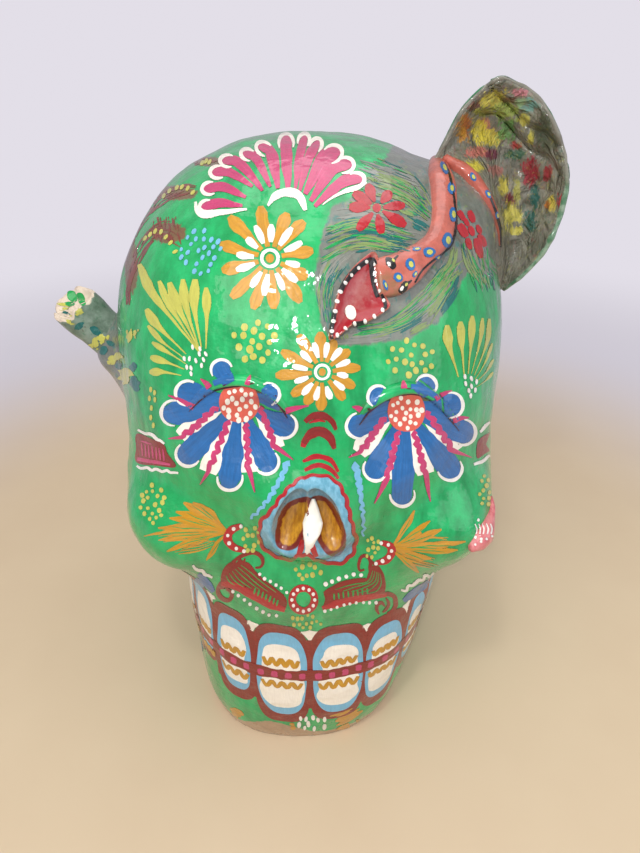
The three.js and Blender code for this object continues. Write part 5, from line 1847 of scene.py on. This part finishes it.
def around_snake():
    """Dry brush strokes of lime and teal that sweep beside the snake."""
    lime = Layer("strokes_lime", "lime", 0.12)
    teal = Layer("strokes_teal", "teal", 0.1)
    grey = Layer("strokes_grey", "grey", 0.08)
    for line, spread, hairs in (([(14, 78), (24, 75), (34, 69)], 2.4, 7),
                                ([(18, 74), (27, 71), (34, 65)], 1.6, 4),
                                ([(4, 62), (12, 63.4), (20, 62)], 1.5, 4),
                                ([(8, 57), (15, 58.4), (26, 55)], 1.4, 4),
                                ([(6, 53), (12, 56.4), (24, 54.6)], 1.0, 3),
                                ([(25, 68), (31, 65.6)], 1.2, 4), ([(33, 38), (38, 45), (46, 51)], 1.8, 6),
                                ([(33, 32), (38, 40), (42, 47)], 1.4, 5),
                                ([(14, 28), (24, 31), (33, 36)], 1.3, 4),
                                ([(45, 56), (47, 50), (51, 44)], 1.2, 4), ([(8, 29), (8.6, 25.6)], 1.6, 4),
                                ([(22, 32), (31, 37)], 1.2, 3), ([(42, 57), (41, 51), (37, 46)], 1.6, 4),
                                ([(28, 29), (35, 33)], 1.2, 3)):
        dry_strokes(lime, sight, line, spread, hairs)
    for line, spread, hairs in (([(28, 68), (34, 67)], 1.8, 5), ([(29, 64), (34, 61)], 1.5, 4),
                                ([(30, 71), (34.6, 70)], 1.2, 4), ([(20, 58), (30, 55.6)], 1.6, 5),
                                ([(3, 60), (9, 64), (16, 65)], 1.2, 4),
                                ([(2, 37), (3, 45), (8, 51)], 1.1, 4),
                                ([(1.8, 33), (2.4, 41), (6.4, 49)], 0.8, 2),
                                ([(36, 34), (41, 41), (44, 47)], 1.5, 5),
                                ([(18, 29), (28, 33), (36, 40)], 1.3, 4), ([(24, 30), (33, 35)], 1.5, 4),
                                ([(8, 60), (16, 61), (24, 58)], 1.0, 3), ([(41, 42), (43, 49)], 1.2, 4),
                                ([(11, 55), (18, 56.6)], 0.8, 2)):
        dry_strokes(teal, sight, line, spread, hairs, half=0.32)
    for line, spread, hairs in (([(12, 82), (24, 78), (34, 74)], 2.6, 7),
                                ([(5, 66), (14, 67), (24, 63)], 2.4, 6),
                                ([(1, 40), (3.6, 50), (12, 57)], 2.4, 7),
                                ([(26, 32), (36, 41), (42, 52)], 3.2, 8),
                                ([(48, 60), (52, 50), (58, 44)], 2.2, 5),
                                ([(4, 27), (14, 27.6), (24, 29)], 1.8, 5)):
        dry_strokes(grey, sight, line, spread, hairs, half=0.35)
    green = Layer("strokes_green", "green", 0.14)
    for layer, share in ((teal, 34), (lime, 30), (grey, 26), (green, 26)):
        hatch_between(layer, [(18, 84), (30, 78), (36, 68)], [(8, 68), (20, 66), (33, 62)], share, 0.22)
        hatch_between(layer, [(2, 62), (14, 65), (33, 60)], [(0, 50), (10, 55), (26, 54)], share, 0.22)
        hatch_between(layer, [(10, 28), (26, 31), (38, 40), (45, 52)],
                      [(12, 31.5), (22, 34), (31, 42), (40, 52)], share, 0.22)
        hatch_between(layer, [(44, 57), (46, 50), (49, 42)], [(52, 60), (53, 52), (55, 42)], share // 2, 0.22)
        hatch_between(layer, [(0, 33), (-1, 44), (3, 54)], [(4.4, 32), (4, 42), (8, 50)], share // 2, 0.2)
    finish_all(grey, teal, lime, green)


def snake_paint():
    black, blue, yellow, white = (Layer("snake_black", "black", 0.16), Layer("snake_blue", "blue", 0.18),
                                  Layer("snake_yellow", "yellow", 0.26), Layer("snake_white", "white", 0.3))
    black.ribbon(sight, [(38.9, 82.6), (40.2, 79.4), (41.2, 75), (42.0, 70.4), (42.5, 65.6), (42.4, 62),
                         (41.0, 56.8), (38.4, 54.2), (35.0, 51.6), (31.8, 48.6), (29.6, 45)],
                 [0.25, 0.35, 0.3, 0.35, 0.3, 0.3, 0.2])
    black.ribbon(sight, [(53.2, 71.4), (55.2, 66.6), (56.4, 61), (56.6, 56)], [0.3, 0.4, 0.4, 0.15])
    black.ribbon(sight, [(15.8, 52.2), (16.4, 48), (17.0, 43.6), (18.0, 40.4)], [0.85, 0.8, 0.6, 0.7],
                 wobble=0.2)
    for u, v in ((17.0, 50.6), (17.4, 45.4), (18.6, 42.4)):
        white.blob(sight, (u, v), 0.45, 0.6, dome=0.2, wobble=0.2)
    for u, v, turn in ((22.0, 51.0, 40), (26.0, 43.6, -35)):
        black.blob(sight, (u, v), 1.3, 2.2, turn=turn, wobble=0.4)
        black.ribbon(sight, [(u, v), (u + 2.6, v + 2.2)], [0.8, 0.2], wobble=0.3)
        white.blob(sight, (u - 0.5, v - 0.4), 0.5, 0.8, turn=turn, wobble=0.3)
        yellow.blob(sight, (u + 0.9, v + 0.8), 0.35, 0.6, turn=turn)
    for u, v, half_u, half_v, turn in ((28.2, 50.6, 1.4, 2.0, 15), (34, 54.4, 1.9, 1.6, 0),
                                       (39.8, 58.2, 1.6, 2.4, 0), (41.5, 66.2, 1.1, 2.3, 5),
                                       (41.0, 74.4, 1.1, 1.9, 10), (38.8, 80.8, 0.9, 2.1, 25),
                                       (24.4, 46.6, 1.4, 1.6, 40), (30.2, 55.4, 1.4, 0.6, 5),
                                       (36.8, 52.8, 1.1, 0.6, 30), (47.8, 78, 0.8, 1.5, 30),
                                       (52.5, 72.6, 0.7, 1.4, 30), (55.3, 66, 0.5, 1.3, 10),
                                       (20.4, 44.2, 0.6, 1.7, 20), (29.6, 47.6, 0.6, 1.1, -30)):
        blue.blob(sight, (u, v), half_u, half_v, turn=turn, wobble=0.12)
        yellow.blob(sight, (u + 0.15, v), half_u * 0.48, half_v * 0.5, turn=turn)
    outline = closed_curve(MOUTH_OUTLINE, 60)
    loop = np.concatenate([outline, outline[:1]])
    middle = np.array(MOUTH_MIDDLE)
    black.ribbon(sight, middle + (loop[:30] - middle) * 0.92, [0.5, 0.75, 0.75, 0.65], wobble=0.12)
    black.ribbon(sight, middle + (loop[38:] - middle) * 0.97, [0.5, 0.7, 0.75, 0.6], wobble=0.12)
    spots = middle + (outline - middle) * np.where(np.arange(60) < 32, 0.91, 0.95)[:, None]
    for i in list(range(1, 26, 3)) + list(range(40, 60, 3)):
        white.blob(sight, spots[i], 0.5, 0.6, dome=0.2)
    bean = Layer("snake_bean", "cream", 0.3)
    bean.blob(sight, (9.5, 35.6), 1.7, 2.4, turn=20, dome=1.0)
    stripes = Layer("tail_lines", "white", 0.16)
    for u in (48.4, 49.6, 50.8, 52.0, 53.2):
        stripes.ribbon(sight, [(u, -30.4), (u + 0.5, -32.0), (u + 0.2, -33.6)], [0.12, 0.22, 0.2])
    dotted(stripes, sight, [(56.4, -29.4), (54.6, -33.4), (52.4, -35), (48.6, -36.8)], 7, 0.35)
    for u, v in ((48.6, -34.6), (50.4, -35.2), (49.4, -29.2)):
        stripes.blob(sight, (u, v), 0.4, 0.5)
    finish_all(black, blue, yellow, white, bean, stripes)


def branch_paint():
    yellow = Layer("branch_yellow", "yellow", 0.16)
    teal = Layer("branch_teal", "teal", 0.12)
    green = Layer("branch_green", "green", 0.14)
    for u, v, half_u, half_v in ((-80.4, 37.1, 1.9, 1.0), (-77.3, 33.5, 1.4, 1.8), (-75, 36, 1.1, 1.0),
                                 (-70.2, 26.3, 0.9, 1.6), (-68.2, 27.7, 1.0, 1.2), (-66.2, 27.8, 0.5, 0.7),
                                 (-71.6, 25.2, 0.7, 0.7), (-64.8, 20.8, 1.2, 1.5), (-63.2, 22, 1.1, 1.2),
                                 (-60.5, 16.8, 1.9, 1.5), (-60.6, 14.6, 1.0, 1.4), (-59.4, 28.1, 0.7, 2.0),
                                 (-57.8, 29.2, 0.5, 1.0)):
        yellow.blob(sight, (u, v), half_u, half_v, turn=rng.uniform(-30, 30), wobble=0.45)
        for _ in range(3):
            spot = np.array((u, v)) + rng.normal(0, 1.0, 2)
            yellow.blob(sight, spot, half_u * 0.45, half_v * 0.4, wobble=0.4)
    for u, v, half_u, half_v in ((-70.2, 29.9, 1.9, 1.2), (-67.6, 23.8, 1.2, 1.5), (-62.8, 19.2, 1.0, 1.4),
                                 (-57.6, 13.4, 1.3, 2.6), (-79.6, 35.2, 1.3, 0.8), (-75.2, 31.4, 1.4, 1.0),
                                 (-65.6, 26, 1.2, 0.8), (-58.4, 18.6, 1.0, 1.6)):
        teal.blob(sight, (u, v), half_u, half_v, turn=rng.uniform(-40, 40), wobble=0.4)
    for u, v, half_u, half_v, turn in ((-83.6, 36.8, 2.0, 1.0, -30), (-77.4, 40.6, 1.3, 2.0, 40),
                                       (-74.6, 39.8, 1.2, 2.2, 25), (-78.6, 38.2, 1.6, 0.8, 0)):
        green.blob(sight, (u, v), half_u, half_v, turn=turn, wobble=0.3)
    finish_all(teal, yellow, green)


TEETH = [  # middle of the column along the jaw, half width, lowest and highest points
    (-12.3, 12.2, 15.6, 82.5), (12.0, 12.2, 17.0, 82.5), (-33.2, 9.5, 27.0, 86.5), (32.6, 10.4, 18.0, 82.0),
    (-49.6, 7.4, 41.0, 96.0), (50.2, 7.6, 31.0, 86.0), (-62.6, 5.9, 54.0, 98.0), (63.4, 5.9, 46.0, 89.0),
]
GUM_GAPS = [(-0.2, 74.6), (23.0, 74.0), (-24.0, 76.2), (42.8, 76.4), (-42.4, 84), (57.7, 82), (-56.9, 91)]


def bite_height(u):
    return 50.4 + 0.0012 * u * u + 0.03 * abs(u)


def teeth():
    chart = RoundJaw(everything)
    gum, brown = Layer("teeth_gum", "cream", 0.1), Layer("teeth_outline", "brown", 0.15)
    sky, cream = Layer("teeth_rim", "sky", 0.2), Layer("teeth_enamel", "cream", 0.26)
    bite, gold, pink = (Layer("teeth_bite", "brown", 0.32), Layer("teeth_waves", "gold", 0.32),
                        Layer("teeth_squares", "magenta", 0.38))
    for u, v in GUM_GAPS:
        gum.ribbon(chart, [(u - 3.6, v + 3.6), (u, v + 3.2), (u + 3.6, v + 3.6)], [0.8, 2.6, 0.8])
        gum.ribbon(chart, [(u, v + 4), (u, v - 2)], [2.8, 1.6, 0.5])
        brown.ribbon(chart, [(u, v - 1.5), (u, bite_height(u)), (u, 27 + 0.2 * abs(u))],
                     [1.0, 2.0, 1.6, 1.8, 1.2])
    for middle, half, low, high in TEETH:
        v, reach = (low + high) / 2, (high - low) / 2
        brown.blob(chart, (middle, v), half + 0.5, reach, 3.4)
        sky.blob(chart, (middle, v + 0.2), half - 1.5, reach - 6.2, 2.7)
        bite_v = bite_height(middle)
        waves = max(2, round(half * 0.36))
        for side, end, share in ((1, high - 13.6, 0.72), (-1, low + 11.6, 0.83)):
            inner = (half - 1.5) * share
            spot = (bite_v + side * 1.5 + end) / 2
            tall = abs(end - bite_v - side * 1.5) / 2
            cream.blob(chart, (middle, spot - side * tall * 0.2), inner, tall * 1.2, 2.8, wobble=0.12)
            line = []
            for i in range(2 * waves + 1):
                u = middle + inner * 0.97 * (i / waves - 1)
                line.append((u, bite_height(u) + side * 7.3 + 2.0 * (-1) ** i))
            gold.ribbon(chart, line, [0.7, 1.1, 0.9, 1.15, 0.95, 1.1, 0.8], wobble=0.15, step=0.5)
        span = np.linspace(middle - half - 0.6, middle + half + 0.6, 5)
        bite.ribbon(chart, [(u, bite_height(u)) for u in span], [3.5, 3.2, 3.5])
        squares = max(2, int(half / 2.9))
        for i in range(squares):
            u = middle + (half - 0.6) * ((2 * i + 1) / squares - 1)
            pink.blob(chart, (u, bite_height(u) + rng.uniform(-0.5, 0.5)), 1.35, 2.0, 4, wobble=0.2)
    finish_all(gum, brown, sky, cream, bite, gold, pink)


def chin_strokes():
    ochre = Layer("chin_strokes", "ochre", 0.12)
    for line, spread in (([(4.5, -93.2), (9, -91.4), (14.4, -88.6)], 1.8),
                         ([(3.4, -91.4), (8, -90), (12.6, -87.4)], 1.2),
                         ([(-28.4, -88.6), (-26, -89.8), (-23.4, -91.6)], 1.2),
                         ([(-9.6, -93.4), (-6.6, -94)], 0.9), ([(-33.6, -81), (-31.4, -84.4)], 0.8)):
        dry_strokes(ochre, sight, line, spread, 4, half=0.55)
    ochre.finish()


# ---------------------------------------------------------------- motifs round the sides and back

def even_petals(count, reach, turn):
    return [(turn + 360 * i / count + rng.uniform(-4, 4), reach * rng.uniform(0.9, 1.06))
            for i in range(count)]


def round_daisy(name, anchor, reach, turn=10):
    chart = OnFace(skin_surface, anchor)
    daisy(name, chart, even_petals(12, reach, turn), even_petals(12, reach * 0.66, turn + 15),
          reach * 0.125, reach * 0.16)


def spray(name, paint, anchor, reach, count, arc, turn, tips=None):
    """A fan of petals on the back or a side, with a row of dots at its foot."""
    chart = OnFace(skin_surface, anchor)
    petals, spots = Layer(name, paint, 0.13), Layer(name + "_foot", "white", 0.2)
    scallops = Layer(name + "_scallops", "cream", 0.2)
    for i in range(count):
        angle = turn + arc * (i / (count - 1) - 0.5) + rng.uniform(-2, 2)
        long = reach * rng.uniform(0.9, 1.05)
        tip, broad = polar(angle, long), reach * 0.062 * rng.uniform(0.85, 1.1)
        petals.ribbon(chart, [tip, tip * 0.62, tip * 0.2], scaled_profile([0.3, 0.85, 1, 0.9, 0.6, 0.35,
                0.22], broad))
        if tips:
            way = tip / long
            side = np.array((-way[1], way[0]))
            bend = [tip - way * broad + (side * math.sin(a) + way * math.cos(a)) * (broad + 0.5)
                    for a in np.linspace(-1.6, 1.6, 7)]
            scallops.ribbon(chart, bend, [0.2, 0.42, 0.45, 0.42, 0.2], step=0.6)
        for share in (0.1, 0.17):
            spots.blob(chart, polar(angle, reach * share) + rng.uniform(-0.3, 0.3, 2), 0.45, 0.7, dome=0.15)
    finish_all(petals, spots, scallops)


def back_and_sides():
    for i, (anchor, reach) in enumerate((((0, 110, 172), 25), ((-82, 38, 188), 19), ((82, 44, 196), 17),
                                         ((-8, 52, 248), 17), ((-50, 96, 118), 14), ((52, 94, 120), 14))):
        round_daisy("daisy_round_" + str(i), anchor, reach, 7 * i)
    for i, (paint, anchor, reach, count, arc, turn, tips) in enumerate((("yellow", (-64, 78, 172), 21, 9,
            120, 100, False), ("yellow", (62, 82, 172), 21, 9, 120, 80, False),
            ("magenta", (0, 106, 204), 25, 11, 170, 90, True), ("magenta", (-80, 10, 122), 19, 9, 160, 90,
                                                                True),
            ("magenta", (80, 22, 124), 19, 9, 160, 90, True), ("yellow", (80, 4, 150), 16, 8, 110, 60,
                                                               False),
            ("yellow", (0, 100, 106), 19, 9, 150, 90, False))):
        spray("spray_" + str(i), paint, anchor, reach, count, arc, turn, tips)
    sky, yellow = Layer("round_dots_sky", "sky", 0.14), Layer("round_dots_yellow", "yellow", 0.14)
    for anchor in ((-56, 84, 214), (56, 78, 216), (-80, 60, 146), (82, 60, 148)):
        dots(sky, OnFace(skin_surface, anchor), (0, 0), (8, 8), 24, 0.85)
    for anchor in ((-30, 108, 146), (30, 108, 146), (-80, 14, 168), (-34, 96, 216), (34, 96, 216),
                   (-62, 56, 92), (62, 56, 92)):
        dots(yellow, OnFace(skin_surface, anchor), (0, 0), (6.5, 6.5), 15, 0.9)
    for middle, _ in BACK_PATCHES:
        chart = OnFace(skin_surface, middle)
        for i in range(7):
            yellow.blob(chart, (-9 + 3 * i, 2.4 - 0.3 * (i - 3) ** 2), 0.55, 1.1, turn=12 * (3 - i), dome=0.1)
    jaw = RoundJaw(skin_surface)
    white = Layer("nape_waves", "white", 0.16)
    red = Layer("nape_bands", "brown", 0.13)
    blue = Layer("nape_blue", "blue", 0.14)
    for start in np.arange(84, 296, 30):
        red.ribbon(jaw, [(start, 52), (start + 15, 54), (start + 27, 52)], [1.0, 2.6, 2.8, 2.6, 1.0])
        white.ribbon(jaw, wave((start, 60), (start + 28, 60), 6, 0.8), [0.4, 0.6, 0.6, 0.4])
        white.ribbon(jaw, wave((start, 45), (start + 28, 45), 6, 0.8), [0.4, 0.6, 0.6, 0.4])
        blue.blob(jaw, (start + 14, 28), 4.4, 6.5, 2.4)
        for side in (-1, 1):
            blue.ribbon(jaw, [(start + 14 + side * 11, 34), (start + 14 + side * 8, 24)], [0.6, 1.6, 0.6])
        dots(yellow, jaw, (start + 14, 28), (3, 4.6), 9, 0.7)
    finish_all(sky, yellow, red, white, blue)


petal_fan()
flowers()
fans()
eyes()
lid_shadows()
clusters()
nose()
face_lines()
cheek_fans()
scrolls()
temples()
rust_hatching()
around_snake()
snake_paint()
branch_paint()
teeth()
chin_strokes()
back_and_sides()


# ---------------------------------------------------------------- camera, light and floor

ROOM_TONE = linear(222, 218, 227)
ROOM_SEEN = 1.05  # the room's strength as the camera sees it
ROOM_LIGHT = 0.57  # its strength as light on the object
FLOOR_REACH = 3000
PALING = (230, 520)  # from the axis: where the warm floor turns pale
FADING = (300, 900)  # from the axis: where the floor goes over into the room


def stage_plane():
    """A plain pale floor that is warm under the head and pales into the room all round, with no horizon."""
    vertices = [(x * FLOOR_REACH, y * FLOOR_REACH, -0.3) for x, y in ((-1, -1), (1, -1), (1, 1), (-1, 1))]
    g = Graph("pale_floor")
    away = g.add("ShaderNodeVectorMath", {0: g.place}, operation="LENGTH").outputs["Value"]
    warm = g.mix(g.noise(60, 3), linear(226, 205, 172), linear(218, 195, 162))
    tone = g.mix(g.ramp(away, *PALING), warm, linear(228, 224, 231))
    g.finish(tone, 0.6, g.paper_bump(0.05), coat=0.0)
    lit = g.out.inputs["Surface"].links[0].from_socket
    seen = g.maths("MULTIPLY", g.ramp(away, *FADING), g.add("ShaderNodeLightPath").outputs["Is Camera Ray"])
    glow = g.add("ShaderNodeEmission", {"Color": ROOM_TONE, "Strength": ROOM_SEEN})
    faded = g.add("ShaderNodeMixShader", {0: seen, 1: lit, 2: glow.outputs[0]})
    g.put(g.out.inputs["Surface"], faded.outputs[0])
    mesh = bpy.data.meshes.new("floor")
    mesh.from_pydata([tuple(c * MM for c in v) for v in vertices], [], [(0, 1, 2, 3)])
    mesh.materials.append(g.material)
    floor = bpy.data.objects.new("floor", mesh)
    bpy.context.scene.collection.objects.link(floor)


def area_light(name, place, target, size, power, colour=(1, 1, 1)):
    light = bpy.data.lights.new(name, "AREA")
    light.shape, light.size, light.energy, light.color = "DISK", size * MM, power, colour
    made = bpy.data.objects.new(name, light)
    made.location = Vector(place) * MM
    made.rotation_euler = (Vector(target) - Vector(place)).to_track_quat("-Z", "Y").to_euler()
    bpy.context.scene.collection.objects.link(made)


def camera():
    data = bpy.data.cameras.new("camera")
    data.sensor_fit = "VERTICAL"
    data.sensor_height = 24
    data.lens = FOCAL / PICTURE_HEIGHT * data.sensor_height
    data.clip_start = 0.01
    made = bpy.data.objects.new("camera", data)
    made.location = Vector(SIGHT) * MM
    made.rotation_euler = (math.pi / 2 - SIGHT_PITCH, 0, 0)
    bpy.context.scene.collection.objects.link(made)
    bpy.context.scene.camera = made


def carried_over():
    """The glued seam strip and the cardboard base, seen from below and through the neck."""
    for name, colour, size in (("seam_band", KRAFT, 6.0), ("base_plate", linear(164, 132, 98), 9.0)):
        materials = bpy.data.objects[name].data.materials
        materials.clear()
        materials.append(plain_paper(name + "_paper", colour, size))


def room():
    """Soft light from all sides; the room as seen is paler than the light it gives."""
    world = bpy.data.worlds.new("soft_room")
    world.use_nodes = True
    nodes, links = world.node_tree.nodes, world.node_tree.links
    nodes["Background"].inputs["Color"].default_value = ROOM_TONE
    rays = nodes.new("ShaderNodeLightPath")
    seen = nodes.new("ShaderNodeMath")
    seen.operation = "MULTIPLY_ADD"
    seen.inputs[1].default_value = ROOM_SEEN - ROOM_LIGHT
    seen.inputs[2].default_value = ROOM_LIGHT
    links.new(rays.outputs["Is Camera Ray"], seen.inputs[0])
    links.new(seen.outputs[0], nodes["Background"].inputs["Strength"])
    bpy.context.scene.world = world


carried_over()
stage_plane()
camera()
area_light("key", (-560, -700, 1000), (0, -20, 150), size=900, power=5.2, colour=(1.0, 0.97, 0.94))
area_light("fill", (620, -360, 420), (0, -20, 140), size=700, power=1.5, colour=(0.93, 0.96, 1.0))
area_light("top", (60, 200, 800), (0, 0, 150), size=600, power=1.4)
area_light("glint", (-30, -330, 350), (0, -60, 190), size=20, power=0.36)
area_light("glint_high", (-34, -228, 455), (0, -80, 205), size=34, power=0.25)
room()
bpy.context.scene.view_settings.view_transform = "Standard"
